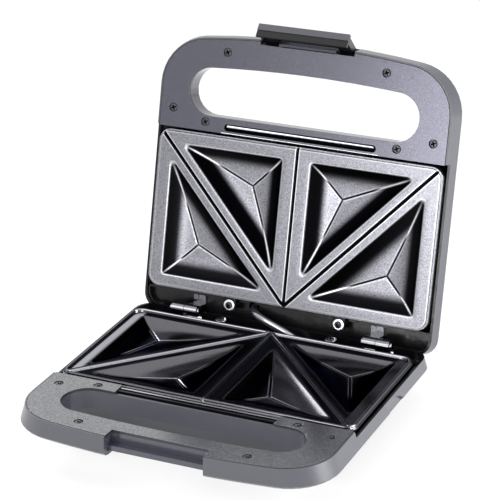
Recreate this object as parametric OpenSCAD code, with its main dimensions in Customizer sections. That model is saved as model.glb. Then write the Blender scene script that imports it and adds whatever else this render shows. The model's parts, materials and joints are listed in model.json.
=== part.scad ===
// Sandwich toaster with a lid hinged at the back, two triangle-pocket plates,
// a hollow carrying handle on each half and a hook latch on the lid's front.
//
// Both halves are drawn lying flat: x runs across, the front is -y, z = 0 is the
// parting plane and negative z goes into the half. in_base() and in_lid() place them.

/* [Body] */
// Width over the widest belt of the body
body_w = 236; // [232:1:240]
// Width of the body at the parting plane
top_w = 228.6; // [226:0.2:231]
// Distance from the hinge axis to the front of the handle
front_reach = 209; // [207:1:212]
// Depth of each shell below the parting plane
shell_depth = 35; // [34:1:38]
// Depth of the widest belt below the parting plane
belt_drop = 12.5; // [12:0.5:13]
// Drop of the shell's rim below the parting plane beside the plates
rim_drop = 4.5; // [4:0.5:5]
// Wall thickness of the shells
wall = 2.2; // [2:0.1:2.6]
// Height of the rubber feet
foot_h = 5; // [4:0.5:8]

/* [Plates] */
// Width of each cooking plate
plate_w = 225; // [220:1:226]
// Depth of each cooking plate, back to front
plate_d = 120; // [118:1:120]
// Distance from the hinge axis to the plates' back edge
plate_back = 13.6; // [13.4:0.1:14]
// Depth of the pockets' centres below the parting plane
pocket_depth = 7.5; // [6:0.5:9]
// Height of the sealing ridges on the lower plate
ridge_h = 2; // [1.5:0.25:2.5]

/* [Handles] */
// Thickness of the handle covers
cover_t = 2.2; // [2:0.1:2.6]
// Half width of the finger openings
grip_half_w = 90.5; // [86:0.5:92]
// Distance from the hinge axis to the back of the finger openings
grip_back = 147; // [146.5:0.5:148]
// Distance from the hinge axis to the front of the finger openings
grip_front = 185.6; // [183:0.5:187]

/* [Hinge] */
// Angle the lid is stored at, measured from closed
open_angle = 104.15; // [95:0.5:108]
// Depth of the hinge axis below the parting plane
axis_drop = 2.69; // [2.2:0.1:3]
// Radius of the hinge pins
pin_r = 2; // [1.8:0.1:2.2]
// Radial running clearance of the hinge pins and the latch pin
run_clear = 0.05; // [0.03:0.01:0.09]

/* [Latch] */
// Half width of the latch
latch_half_w = 35.4; // [34:0.2:36]
// Swing of the latch in the stored pose, out from its closed position
latch_swing = 31; // [20:1:45]
// Radius of the latch pin
latch_pin_r = 1.5; // [1.3:0.1:1.6]

/* [Hidden] */

$fn = 48;
eps = 0.01;                                   // overlap that makes cuts clean
seam = 0.3;                                   // visible seam between neighbouring pieces
cover_drop = 0.1;                             // depth of the handle covers' faces
grow = 1;                                     // how far cuts run past a surface

// Body sizes
belt_half = body_w / 2;
top_inset = (body_w - top_w) / 2;             // how far the body narrows from belt to parting plane
front_inset = 1;                              // the same at the handle's front
stop_gap = 0.3;                               // gap left between the two back walls when open
back_reach = ((axis_drop + rim_drop) * sin(open_angle) - stop_gap) / (1 - cos(open_angle));
bow_r = 720;                                  // bow of the handle's front
front_corner = 37;
back_corner = 13;
handle_bottom = 16;                           // depth of the handle's underside
step_gap = 2.6;                               // gap from the plates' front edge to the step
step_s = plate_back + plate_d + step_gap;     // where the rim steps up to the handle
grip_corner = min(17.5, (grip_front - grip_back) / 2 - 1.3);
axis_z = shell_depth + foot_h - axis_drop;    // height of the hinge axis above the table

// Colours
grey_dark = [0.27, 0.27, 0.30];
silver = [0.56, 0.56, 0.60];
black = [0.06, 0.06, 0.07];
steel = [0.72, 0.72, 0.74];
ceramic = [0.88, 0.86, 0.80];

// Belly profile: half width, front, back and depth of each level, parting plane downwards
belly = [
  [belt_half, grip_back, back_reach, belt_drop],
  [belt_half - 5.8, grip_back - 1, back_reach - 1.2, belt_drop + 7.5],
  [belt_half - 14, grip_back - 3, 0, shell_depth - 4],
  [belt_half - 17, grip_back - 5, -4, shell_depth - 1],
  [belt_half - 20, grip_back - 8, -9, shell_depth]];
belly_corner = 15;

// Highest reach of the open lid's back, which with the front sets the middle of the footprint
lid_back = max([for (b = belly) -b[1] * cos(open_angle) + (axis_drop + b[3]) * sin(open_angle)]);
axis_y = (front_reach + front_inset - lid_back) / 2;

// Plate sizes
plate_t = 2.2;
plate_corner = 9.5;
face_gap = 0.2;                               // gap from each plate's highest face to the parting plane
base_land = face_gap + ridge_h;               // depth of the lower plate's flat land
skirt_t = 1.8;
skirt_drop = 8;
centre_land = 11;                             // half width of the land along the middle
side_land = 11.5;
front_land = 10;
back_land = 9.5;
diag_land = 6.8;                              // half width of the land along each diagonal
diag_x0 = 0;
diag_s0 = plate_back + 1;
diag_x1 = plate_w / 2 - 4.5;
diag_s1 = plate_back + plate_d - 3.6;
tab_x = 44;                                   // screws behind the plates
tab_s = 8;
washer_t = 0.6;                               // washers under the plates' screws
boss_s = [plate_back + 21, plate_back + plate_d - 18]; // reflector bosses along the middle
reflector_drop = 18;

// Hinge sizes
hinge_x = 77;
knuckle_w = 10;                               // width of each knuckle
knuckle_gap = 0.4;                            // gap between the base's knuckle and the lid's
lug_r = 4.5;
lug_x = hinge_x + knuckle_gap / 2;            // where the base's knuckle starts; it ends knuckle_w further out
bracket_x = lug_x - knuckle_gap - knuckle_w;  // where the lid's knuckle starts
lug_screw_x = [lug_x + 2, lug_x + knuckle_w - 2];
bracket_screw_x = [bracket_x + 2, bracket_x + knuckle_w - 2];
floor_drop = 12;                              // floor of the trough behind the plates
floor_t = 1.5;
notch_half = knuckle_w + 1.6;

// Latch sizes
latch_s = front_reach - 6;                    // latch pivot
latch_drop = 5.1;
recess_half = latch_half_w + 1.4;            // at the handle's front; the flanks close in by recess_taper
recess_taper = 0.8;
recess_s = front_reach - 12;
ledge_s = front_reach - 6;
ledge_top = 9;
ledge_bottom = 12.9;
land_half = 22.3;                             // middle land between the latch arms
land_s = front_reach - 2.7;
pocket_half = latch_half_w + 1.4;
pocket_s = front_reach - 9.6;
pocket_ceiling = 13;
cover_cut_s = front_reach - 4.8;              // front edge of the lid's cover between the latch arms
knuckle_r = 2.8;                              // radius of the latch arms round their pin

notch_half_w = 60;                            // notch in the back edge of the lower handle cover

// Notch in each side of the base, as [distance from the hinge axis, depth], and its floor
side_notch = [[83, 5.4], [71.5, 5.4], [68, 6], [60, 8.6], [54, 12], [51, 16], [50, 19], [77, 19], [80, 12]];
side_notch_x = belt_half - 3;

// Fastener positions: [x, distance from the hinge axis]
cover_screws = [for (sx = [-1, 1])
  for (p = [[62.4, front_reach - 13.5], [belt_half - 15.4, step_s + 13.6], [75.6, step_s + 6.2]]) [sx * p[0], p[1]]];
foot_at = [for (sx = [-1, 1]) for (s = [20, step_s - 5.2]) [sx * (belt_half - 30), s]];
foot_recess = 2;                              // depth of the screw recess in each foot
screw_head_r = 2.9;
screw_head_t = 1.2;
screw_sink = 0.35;                            // depth of the cover screws' heads
screw_r = 1.5;
screw_clear = 0.03;                           // thread clearance in a boss

// ---- Placing ----
module in_base() translate([0, axis_y, axis_z + axis_drop]) children();
module in_lid()
  translate([0, axis_y, axis_z]) rotate([-open_angle, 0, 0]) translate([0, 0, axis_drop])
    mirror([0, 0, 1]) children();
module both_sides() for (sx = [0, 1]) mirror([sx, 0, 0]) children();

// ---- Outlines and lofted solids ----
function arc(cx, cy, r, a0, a1, n) =
  [for (i = [0 : n]) let (a = a0 + (a1 - a0) * i / n) [cx + r * cos(a), cy + r * sin(a)]];

// Rounded outline with a bowed front at y = -front and a straight back at y = back
function outline(half, front, back, rf, rb, bow) =
  let (cx = half - rf, beta = asin(cx / (bow - rf)), cy = -front + bow - (bow - rf) * cos(beta))
  concat(
    arc(half - rb, back - rb, rb, 0, 90, 6),
    arc(rb - half, back - rb, rb, 90, 180, 6),
    arc(-cx, cy, rf, 180, 270 - beta, 9),
    [for (i = [1 : 7]) let (a = 270 - beta + 2 * beta * i / 8) [bow * cos(a), -front + bow + bow * sin(a)]],
    arc(cx, cy, rf, 270 + beta, 360, 9));

function at_depth(points, depth) = [for (p = points) [p[0], p[1], -depth]];
function body_ring(inset, depth, side = 0) = at_depth(
  outline(belt_half - inset - side * top_inset, front_reach + front_inset - inset - side * front_inset,
    back_reach - inset, front_corner - inset, back_corner - inset * 0.9, bow_r - inset), depth);
function belly_ring(b, inset, depth) = at_depth(
  outline(b[0] - inset, b[1] - inset, b[2] - inset, belly_corner - inset, back_corner - inset * 0.9, 4000), depth);
function grip(inset) = outline(grip_half_w - inset, grip_front - inset, -grip_back - inset,
  grip_corner - inset, grip_corner + 0.5 - inset, 990);

// Solid through a stack of rings that all have the same number of points, lowest ring first
module loft(rings) {
  n = len(rings[0]);
  polyhedron(
    points = [for (r = rings) each r],
    faces = concat(
      [[for (i = [0 : n - 1]) i]],
      [[for (i = [n - 1 : -1 : 0]) (len(rings) - 1) * n + i]],
      [for (k = [0 : len(rings) - 2]) for (i = [0 : n - 1])
        [k * n + i, (k + 1) * n + i, (k + 1) * n + (i + 1) % n, k * n + (i + 1) % n]]),
    convexity = 8);
}

module rounded_rect(w, d, r) {
  square([w - 2 * r, d], center = true);
  square([w, d - 2 * r], center = true);
  for (x = [-1, 1]) for (y = [-1, 1]) translate([x * (w / 2 - r), y * (d / 2 - r)]) circle(r);
}

// Box from x0..x1, distances s0..s1 from the hinge axis and depths d0..d1
module block(x0, x1, s0, s1, d0, d1) translate([x0, -s1, -d1]) cube([x1 - x0, s1 - s0, d1 - d0]);
// Upright cylinder at [x, s] between two depths
module post(x, s, r, d0, d1) translate([x, -s, -d1]) cylinder(r = r, h = d1 - d0);
// Cylinder along x
module rod(x0, x1, s, depth, r) translate([x0, -s, -depth]) rotate([0, 90, 0]) cylinder(r = r, h = x1 - x0);

// ---- Shell shared by both halves ----
module shell_outside() {
  loft([body_ring(6, handle_bottom), body_ring(2.6, handle_bottom - 0.8), body_ring(0.8, handle_bottom - 2.2),
    body_ring(0, belt_drop), body_ring(0, 0.4, 1)]);
  loft([for (i = [len(belly) - 1 : -1 : 0]) belly_ring(belly[i], 0, belly[i][3])]);
}

module shell_inside() {
  loft([body_ring(6 + wall, handle_bottom - wall), body_ring(3 + wall, handle_bottom - wall - 0.8),
    body_ring(wall, belt_drop - 1), body_ring(wall, -grow, 1)]);
  loft(concat([for (i = [len(belly) - 1 : -1 : 1]) belly_ring(belly[i], wall, belly[i][3] - wall)],
    [belly_ring(belly[0], wall, belt_drop - 1.5)]));
}

module grip_cut() translate([0, 0, -shell_depth]) linear_extrude(shell_depth + grow) polygon(grip(0));
module grip_wall() translate([0, 0, -handle_bottom + eps])
  linear_extrude(handle_bottom - cover_t - eps) polygon(grip(-wall));

// Straight screw with a cross recess, head top at the given depth
module screw(x, s, top, length, head_r = screw_head_r, head_t = screw_head_t, r = screw_r) {
  difference() {
    union() {
      post(x, s, head_r, top, top + head_t);
      post(x, s, r, top + head_t - eps, top + length);
    }
    block(x - head_r * 0.6, x + head_r * 0.6, s - 0.4, s + 0.4, top - grow, top + head_t * 0.6);
    block(x - 0.4, x + 0.4, s - head_r * 0.6, s + head_r * 0.6, top - grow, top + head_t * 0.6);
  }
}

// Shell of one half, before what differs between base and lid
module half_shell() {
  difference() {
    union() {
      difference() {
        shell_outside();
        shell_inside();
      }
      intersection() {
        shell_outside();
        union() {
          grip_wall();
          // Wall between the handle and the plate's well, with ledges under the plate's front
          block(-belt_half, belt_half, step_s - 0.6, step_s + 1, cover_t, handle_bottom);
          both_sides() block(20, 50, plate_back + plate_d - 4, step_s, skirt_drop, skirt_drop + 2);
          // Ribs under the plate's sides
          both_sides() for (s = [40, 75, 110])
            block(plate_w / 2 - 4, belt_half, s - 4, s + 4, skirt_drop, skirt_drop + 8);
          // Trough behind the plate
          block(-belt_half, belt_half, -back_reach, plate_back - 1, floor_drop, floor_drop + floor_t);
          block(-belt_half, belt_half, plate_back - 2.6, plate_back - 1, 6.5, floor_drop + floor_t);
          both_sides() post(tab_x, tab_s, 3.6, base_land + plate_t, floor_drop + floor_t);
          for (p = cover_screws) post(p[0], p[1], 3.3, cover_t, handle_bottom - eps);
          for (p = foot_at) post(p[0], p[1], 4.5, shell_depth - 9, shell_depth - eps);
        }
      }
    }
    // Open above the rim, beside and behind the plate
    block(-belt_half - grow, belt_half + grow, -back_reach - grow, step_s, -grow, rim_drop);
    // Rebate for the handle cover
    intersection() {
      translate([0, 0, -cover_t]) linear_extrude(cover_t + grow)
        polygon(outline(belt_half - top_inset - 1.3, front_reach - 1.3, back_reach, front_corner - 2,
          back_corner, bow_r));
      block(-belt_half, belt_half, step_s - grow, front_reach + grow, -grow, cover_t);
    }
    grip_cut();
    for (p = cover_screws) post(p[0], p[1], screw_r + screw_clear, cover_t - grow, cover_t + 8);
    both_sides() post(tab_x, tab_s, screw_r + screw_clear, base_land, floor_drop);
  }
}

// Handle cover of one half, before its front notch and back edge differ
module half_cover() {
  difference() {
    intersection() {
      translate([0, 0, -cover_t]) linear_extrude(cover_t - cover_drop)
        polygon(outline(belt_half - top_inset - 1.3 - seam, front_reach - 1.3 - seam, back_reach,
          front_corner - 2.3, back_corner, bow_r));
      block(-belt_half, belt_half, step_s - 0.6, front_reach + grow, -grow, shell_depth);
    }
    grip_cut();
    for (p = cover_screws) {
      post(p[0], p[1], screw_head_r + 0.4, -grow, screw_sink + screw_head_t);
      post(p[0], p[1], screw_r + 0.2, 0, cover_t + grow);
    }
  }
}

// ---- Plates ----
function incentre(v) = let (a = norm(v[1] - v[2]), b = norm(v[2] - v[0]), c = norm(v[0] - v[1]))
  (a * v[0] + b * v[1] + c * v[2]) / (a + b + c);
function inradius(v) = let (a = norm(v[1] - v[2]), b = norm(v[2] - v[0]), c = norm(v[0] - v[1]))
  abs((v[1][0] - v[0][0]) * (v[2][1] - v[0][1]) - (v[2][0] - v[0][0]) * (v[1][1] - v[0][1])) / (a + b + c);

// Corners rounded by radius r; the corners run anticlockwise
function round_triangle(v, r) = [for (i = [0 : 2])
  let (p = v[i], a = v[(i + 2) % 3] - p, b = v[(i + 1) % 3] - p,
    ua = a / norm(a), ub = b / norm(b), half = acos(ua * ub) / 2,
    bis = (ua + ub) / norm(ua + ub), c = p + bis * r / sin(half),
    mid = atan2(-bis[1], -bis[0]))
  for (k = [-2 : 2]) let (t = mid + k * (90 - half) / 2) c + r * [cos(t), sin(t)]];

// Depth of a pocket below its rim as a share of its centre depth; u runs from rim 0 to centre 1
function pocket_fall(u) = 0.22 * u + 0.78 * (1 - pow(1 - u, 3));
pocket_steps = [0, 0.05, 0.12, 0.22, 0.36, 0.55, 0.78, 0.98];

diag_slope = (diag_s1 - diag_s0) / (diag_x1 - diag_x0);
diag_lift = diag_land * sqrt(1 + diag_slope * diag_slope);
function diag_at(x) = diag_s0 + diag_slope * (x - diag_x0);
function diag_x_at(s) = diag_x0 + (s - diag_s0) / diag_slope;

// The two pockets on the +x side, corners as [x, y]
inner_front = plate_back + plate_d - front_land;
outer_back = plate_back + back_land;
outer_x = plate_w / 2 - side_land;
inner_pocket = [[centre_land, -diag_at(centre_land) - diag_lift], [centre_land, -inner_front],
  [diag_x_at(inner_front - diag_lift), -inner_front]];
outer_pocket = [[outer_x, -diag_at(outer_x) + diag_lift], [outer_x, -outer_back],
  [diag_x_at(outer_back + diag_lift), -outer_back]];

module pocket_loft(v, land, swell, cap) {
  c = incentre(v);
  fall = pocket_depth - land;
  rim = [for (p = round_triangle(v, 2.6)) p - c];
  k = (inradius(v) + swell) / inradius(v);
  rings = [for (u = pocket_steps) [for (p = rim)
    let (q = c + p * (1 - u) * k) [q[0], q[1], -land - swell - fall * pocket_fall(u)]]];
  loft([for (i = [len(rings) - 1 : -1 : -1]) i < 0 ? [for (p = rings[0]) [p[0], p[1], cap]] : rings[i]]);
}

module plate_middle() translate([0, -plate_back - plate_d / 2]) children();

module half_plate(land) {
  difference() {
    union() {
      translate([0, 0, -land - plate_t]) linear_extrude(plate_t)
        plate_middle() rounded_rect(plate_w, plate_d, plate_corner);
      // Skirt round the edge
      translate([0, 0, -skirt_drop]) linear_extrude(skirt_drop - land) difference() {
        plate_middle() rounded_rect(plate_w, plate_d, plate_corner);
        plate_middle() rounded_rect(plate_w - 2 * skirt_t, plate_d - 2 * skirt_t, plate_corner - skirt_t);
      }
      for (v = [inner_pocket, outer_pocket]) both_sides() pocket_loft(v, land, plate_t, -land - plate_t);
      // Screw tabs behind the plate, and bosses for the reflector
      both_sides() block(tab_x - 5, tab_x + 5, tab_s - 4.5, plate_back + 1, base_land, base_land + plate_t);
      for (s = boss_s) post(0, s, 4, land + plate_t - eps, reflector_drop);
    }
    for (v = [inner_pocket, outer_pocket]) both_sides() pocket_loft(v, land, 0, grow);
    both_sides() post(tab_x, tab_s, screw_r + 0.2, 0, 8);
    for (s = boss_s) post(0, s, screw_r + screw_clear, reflector_drop - 8, reflector_drop + grow);
  }
}

// Bar of the given half width along the diagonal, in the plane of the plate
module diagonal_bar(half_w) {
  dx = diag_x1 - diag_x0;
  ds = diag_s1 - diag_s0;
  translate([diag_x0, -diag_s0]) rotate(atan2(-ds, dx)) translate([0, -half_w]) square([norm([dx, ds]), 2 * half_w]);
}

// ---- Heating parts shared by both halves ----
reflector_t = 0.8;
heater_r = 3.2;
heater_x = 62;
heater_s = [plate_back + 26, plate_back + plate_d - 26];
heater_bend = 16;
heater_drop = reflector_drop - heater_r;

module heater_corner(x, s, a) translate([x, -s, -heater_drop]) rotate([0, 0, a])
  rotate_extrude(angle = 90) translate([heater_bend, 0]) circle(heater_r);

// Tube bent into a loop that is open at the back, its ends turned up into cold pins
module half_heater() {
  x = heater_x;
  s0 = heater_s[0];
  s1 = heater_s[1];
  both_sides() {
    heater_corner(x - heater_bend, s0 + heater_bend, 0);
    heater_corner(x - heater_bend, s1 - heater_bend, 270);
    translate([x, -s0 - heater_bend, -heater_drop]) rotate([90, 0, 0])
      cylinder(r = heater_r, h = s1 - s0 - 2 * heater_bend);
    rod(18, x - heater_bend, s0, heater_drop, heater_r);
    rod(12, 18 + eps, s0, heater_drop, heater_r * 0.45);
  }
  rod(heater_bend - x, x - heater_bend, s1, heater_drop, heater_r);
}

module half_reflector() {
  difference() {
    union() {
      translate([0, 0, -reflector_drop - reflector_t]) linear_extrude(reflector_t)
        plate_middle() rounded_rect(plate_w - 22, plate_d - 14, 8);
      translate([0, 0, -reflector_drop]) linear_extrude(4) difference() {
        plate_middle() rounded_rect(plate_w - 22, plate_d - 14, 8);
        plate_middle() rounded_rect(plate_w - 23.6, plate_d - 15.6, 7.2);
      }
    }
    for (s = boss_s) post(0, s, screw_r + 0.2, reflector_drop - grow, reflector_drop + 2);
  }
}

// Screws that enter from the inner side, heads on the reflector
module half_reflector_screws() for (s = boss_s)
  mirror([0, 0, 1]) screw(0, s, -reflector_drop - reflector_t - screw_head_t, screw_head_t + reflector_t + 6);

// ---- Base pieces ----
module base_housing() color(grey_dark) in_base() {
  difference() {
    union() {
      half_shell();
      intersection() {
        shell_outside();
        union() {
          // Walls of the latch recess and the ledge that the latch hooks under
          difference() {
            block(-recess_half - wall, recess_half + wall, recess_s - wall, front_reach, cover_t, handle_bottom);
            block(-recess_half, recess_half, recess_s, front_reach + grow, -grow, shell_depth);
          }
          block(-recess_half - eps, recess_half + eps, recess_s - eps, ledge_s, ledge_top, ledge_bottom);
          // Two rails in the cover's back notch
          for (s = [step_s + 1.4, step_s + 5.2]) block(-notch_half_w, notch_half_w, s, s + 1.6, 1, 6);
          block(-notch_half_w, notch_half_w, step_s, grip_back - 1, 5, 7);
          // Thicker wall behind the side notches
          both_sides() block(side_notch_x - 1.4, belt_half, 44, 88, rim_drop, 21);
        }
      }
      // Collar for the cord gland
      translate([gland_x, back_reach, -gland_drop]) rotate([90, 0, 0]) cylinder(r = gland_r + 3, h = 6);
    }
    // Latch recess, with flanks that close in towards the back
    difference() {
      translate([0, 0, -shell_depth]) linear_extrude(shell_depth + grow)
        polygon([[-recess_half, -front_reach - 4], [recess_half, -front_reach - 4],
          [recess_half - recess_taper, -recess_s], [recess_taper - recess_half, -recess_s]]);
      block(-recess_half - grow, recess_half + grow, recess_s - grow, ledge_s, ledge_top, ledge_bottom);
    }
    both_sides() translate([side_notch_x, 0, 0]) rotate([90, 0, 90]) linear_extrude(5)
      polygon([for (p = side_notch) [-p[0], -p[1]]]);
    // Notches in the back wall for the hinge
    both_sides() block(hinge_x - notch_half, hinge_x + notch_half, -back_reach - grow, -back_reach + wall + 2,
      -grow, floor_drop);
    // Holes for the hinge screws, feet, cord gland and wiring sleeve
    both_sides() for (x = lug_screw_x) post(x, 8.6, 1 + screw_clear, 0, floor_drop + floor_t + grow);
    for (p = foot_at) post(p[0], p[1], screw_r + screw_clear, shell_depth - 7, shell_depth + grow);
    translate([gland_x, back_reach + grow, -gland_drop]) rotate([90, 0, 0]) cylinder(r = gland_r + 0.02, h = 16);
    for (x = [0, sleeve_lean])
      post(sleeve_end[0] - x, sleeve_end[1], sleeve_r + sleeve_room, 0, floor_drop + floor_t + grow);
    block(sleeve_end[0] - sleeve_lean, sleeve_end[0], sleeve_end[1] - sleeve_r - sleeve_room,
      sleeve_end[1] + sleeve_r + sleeve_room, 0, floor_drop + floor_t + grow);
  }
}

module base_handle_cover() color(silver) in_base() difference() {
  half_cover();
  translate([0, 0, -cover_t - grow]) linear_extrude(cover_t + 2 * grow)
    polygon([[-recess_half, -front_reach - 4], [recess_half, -front_reach - 4],
      [recess_half - recess_taper, -recess_s], [recess_taper - recess_half, -recess_s]]);
  block(-notch_half_w, notch_half_w, step_s - 2, grip_back + grow, -grow, cover_t + grow);
}

module base_cover_screws() color(black) in_base()
  for (p = cover_screws) screw(p[0], p[1], screw_sink, 8);

module base_plate() color(black) in_base() {
  half_plate(base_land);
  // Raised sealing ridges: edge, middle and diagonals
  translate([0, 0, -base_land - eps]) linear_extrude(ridge_h + eps) {
    difference() {
      plate_middle() rounded_rect(plate_w - 2, plate_d - 2, plate_corner - 1);
      plate_middle() rounded_rect(plate_w - 7, plate_d - 7, plate_corner - 3.5);
    }
    translate([-1.2, -plate_back - plate_d + 2]) square([2.4, plate_d - 4]);
    both_sides() diagonal_bar(1.2);
  }
}

module half_plate_screws() both_sides() {
  screw(tab_x, tab_s, base_land - washer_t - 1.4, 8, 2.7, 1.4);
  difference() {
    post(tab_x, tab_s, 4.2, base_land - washer_t, base_land);
    post(tab_x, tab_s, screw_r - 0.1, 0, base_land + grow);
  }
}
module base_plate_screws() color(steel) in_base() half_plate_screws();

module base_heater() color(steel) in_base() half_heater();
module base_reflector() color(steel) in_base() half_reflector();
module base_reflector_screws() color(steel) in_base() half_reflector_screws();

// The base's knuckles, each on a flange screwed to the trough's floor
module base_hinge_lugs() color(black) in_base() both_sides() difference() {
  union() {
    rod(lug_x, lug_x + knuckle_w, 0, axis_drop, lug_r);
    block(lug_x, lug_x + knuckle_w, -2.6, lug_r, axis_drop, floor_drop);
    block(lug_x, lug_x + knuckle_w, 0, plate_back - 3, floor_drop - 2, floor_drop);
  }
  rod(lug_x - grow, lug_x + knuckle_w + grow, 0, axis_drop, pin_r + run_clear);
  for (x = lug_screw_x) post(x, 8.6, 1.2, 0, shell_depth);
}

module base_lug_screws() color(steel) in_base()
  both_sides() for (x = lug_screw_x) screw(x, 8.6, floor_drop - 3, 4.4, 1.9, 1, 1);

module rubber_feet() color(black) in_base() for (p = foot_at) difference() {
  union() {
    post(p[0], p[1], 9, shell_depth, shell_depth + 1.6);
    post(p[0], p[1], 8.4, shell_depth + 1.5, shell_depth + foot_h);
  }
  post(p[0], p[1], screw_head_r + 0.6, shell_depth + foot_h - foot_recess, shell_depth + foot_h + grow);
  post(p[0], p[1], screw_r + 0.2, shell_depth - grow, shell_depth + foot_h);
}

module foot_screws() color(steel) in_base() for (p = foot_at)
  mirror([0, 0, 1])
    screw(p[0], p[1], foot_recess - shell_depth - foot_h - screw_head_t, screw_head_t + foot_h - foot_recess + 6);

// Gland in the back of the base that the mains cord comes out of
gland_x = -55;
gland_drop = 20;
gland_r = 5;
module cord_gland() color(black) in_base()
  translate([gland_x, back_reach, -gland_drop]) rotate([-90, 0, 0]) difference() {
    union() {
      cylinder(r = gland_r + 2, h = 2);
      translate([0, 0, -7]) cylinder(r = gland_r, h = 9);
      for (i = [0 : 3]) translate([0, 0, 2 + i * 3.2]) {
        cylinder(r = 4.4 - i * 0.25, h = 2.2);
        cylinder(r = 3.6 - i * 0.15, h = 3.2);
      }
    }
    translate([0, 0, -7 - grow]) cylinder(r = 2.6, h = 40);
  }

// Ceramic block on the shell's floor where the mains wires join the heater leads
module terminal_block() color(ceramic) in_base() difference() {
  block(-44, -14, 26, 40, shell_depth - wall - 11, shell_depth - wall);
  for (x = [-37, -29, -21]) post(x, 33, 2.2, shell_depth - wall - 11 - grow, shell_depth - wall - 6);
}

module thermal_fuse() color(steel) in_base() {
  block(16, 40, 30, 36, shell_depth - wall - 3, shell_depth - wall);
  rod(18, 38, 33, shell_depth - wall - 5, 2.2);
}

// ---- Lid pieces ----
module lid_housing() color(grey_dark) in_lid() {
  difference() {
    union() {
      half_shell();
      intersection() {
        shell_outside();
        difference() {
          union() {
            // Pockets that hold the latch arms, and a rail between them at the front of the cover
            both_sides() block(land_half - wall, pocket_half + wall, pocket_s - wall, front_reach,
              cover_t, pocket_ceiling + wall);
            block(-land_half, land_half, cover_cut_s + 0.5, land_s, 0.4, handle_bottom);
          }
          both_sides() block(land_half, pocket_half, pocket_s, front_reach + 4, -grow, pocket_ceiling);
        }
      }
      // Posts inside the top for the lamp board
      both_sides() post(20, lamp_s, 3, shell_depth - 9, shell_depth - eps);
    }
    both_sides() block(land_half - eps, pocket_half, pocket_s, front_reach + 4, -grow, pocket_ceiling);
    block(-land_half - eps, land_half + eps, land_s, front_reach + 4, -grow, pocket_ceiling);
    rod(-pocket_half - wall - 0.4, pocket_half + wall + 0.4, latch_s, latch_drop, latch_pin_r + 0.02);
    both_sides() for (x = bracket_screw_x) post(x, 8.6, 1 + screw_clear, 0, floor_drop + floor_t + grow);
    for (x = [-lamp_x, lamp_x]) post(x, lamp_s, lamp_r, shell_depth - 6, shell_depth + grow);
    post(sleeve_start[0], sleeve_start[1], sleeve_r + sleeve_room, 0, floor_drop + floor_t + grow);
  }
}

module lid_handle_cover() color(silver) in_lid() difference() {
  half_cover();
  block(-pocket_half, pocket_half, cover_cut_s, front_reach + grow, -grow, cover_t + grow);
  // Long opening with rounded ends behind the finger opening
  translate([0, 0, -cover_t - grow]) linear_extrude(cover_t + 2 * grow) vent_outline(vent_half);
}

vent_half = 60;
vent_s = step_s + 3.9;
vent_r = 2.6;
module vent_outline(half, r = vent_r) translate([0, -vent_s]) {
  square([2 * (half - r), 2 * r], center = true);
  for (sx = [-1, 1]) translate([sx * (half - r), 0]) circle(r);
}

// Strip behind the long opening, with a raised lip that shows through it
module lid_vent_bar() color(silver) in_lid() {
  block(-vent_half - 3, vent_half + 3, vent_s - vent_r + 0.1, vent_s + vent_r + 1.6, cover_t, cover_t + 1.6);
  block(3 - vent_half, vent_half - 3, vent_s + 0.4, vent_s + vent_r - 0.4, 0.2, cover_t + eps);
}

module lid_cover_screws() color(black) in_lid()
  for (p = cover_screws) screw(p[0], p[1], screw_sink, 8);

module lid_plate() color(black) in_lid() difference() {
  half_plate(face_gap);
  // Grooves that take the lower plate's ridges, and a step round the edge
  translate([0, 0, -face_gap - 1.2]) linear_extrude(1.2 + grow) {
    translate([-1.1, -plate_back - plate_d - grow]) square([2.2, plate_d + 2 * grow]);
    both_sides() diagonal_bar(1.4);
    difference() {
      plate_middle() rounded_rect(plate_w + 2, plate_d + 2, plate_corner);
      plate_middle() rounded_rect(plate_w - 3, plate_d - 3, plate_corner - 1.5);
    }
  }
}

module lid_plate_screws() color(steel) in_lid() half_plate_screws();

module lid_heater() color(steel) in_lid() half_heater();
module lid_reflector() color(steel) in_lid() half_reflector();
module lid_reflector_screws() color(steel) in_lid() half_reflector_screws();

// The lid's knuckles, each on an arm and a flange screwed to the lid's trough
module lid_hinge_brackets() color(black) in_lid() both_sides() difference() {
  union() {
    rod(bracket_x, bracket_x + knuckle_w, 0, -axis_drop, lug_r);
    block(bracket_x, bracket_x + knuckle_w, -2, lug_r - 0.6, -axis_drop, floor_drop);
    block(bracket_x, bracket_x + knuckle_w, 0, plate_back - 3, floor_drop - 1.5, floor_drop);
  }
  rod(bracket_x - grow, bracket_x + knuckle_w + grow, 0, -axis_drop, pin_r + 0.02);
  for (x = bracket_screw_x) post(x, 8.6, 1.2, 0, shell_depth);
}

module lid_bracket_screws() color(steel) in_lid()
  both_sides() for (x = bracket_screw_x) screw(x, 8.6, floor_drop - 2.5, 3.9, 1.9, 1, 1);

module hinge_pins() color(steel) in_lid() both_sides() {
  rod(bracket_x - 1.4, lug_x + knuckle_w + 0.2, 0, -axis_drop, pin_r);
  rod(bracket_x - 1.4, bracket_x, 0, -axis_drop, pin_r + 1.2);
  rod(lug_x + knuckle_w + 0.2, lug_x + knuckle_w + 1.6, 0, -axis_drop, pin_r + 1.2);
}

// Disc thermostat clamped to the back of the upper plate's middle land
thermostat_s = plate_back + plate_d / 2 + 2;
module thermostat() color(steel) in_lid() {
  post(0, thermostat_s, 7.5, face_gap + plate_t, face_gap + plate_t + 6);
  block(-9.5, 9.5, thermostat_s - 3, thermostat_s + 3, face_gap + plate_t + 6, face_gap + plate_t + 9);
}

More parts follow.
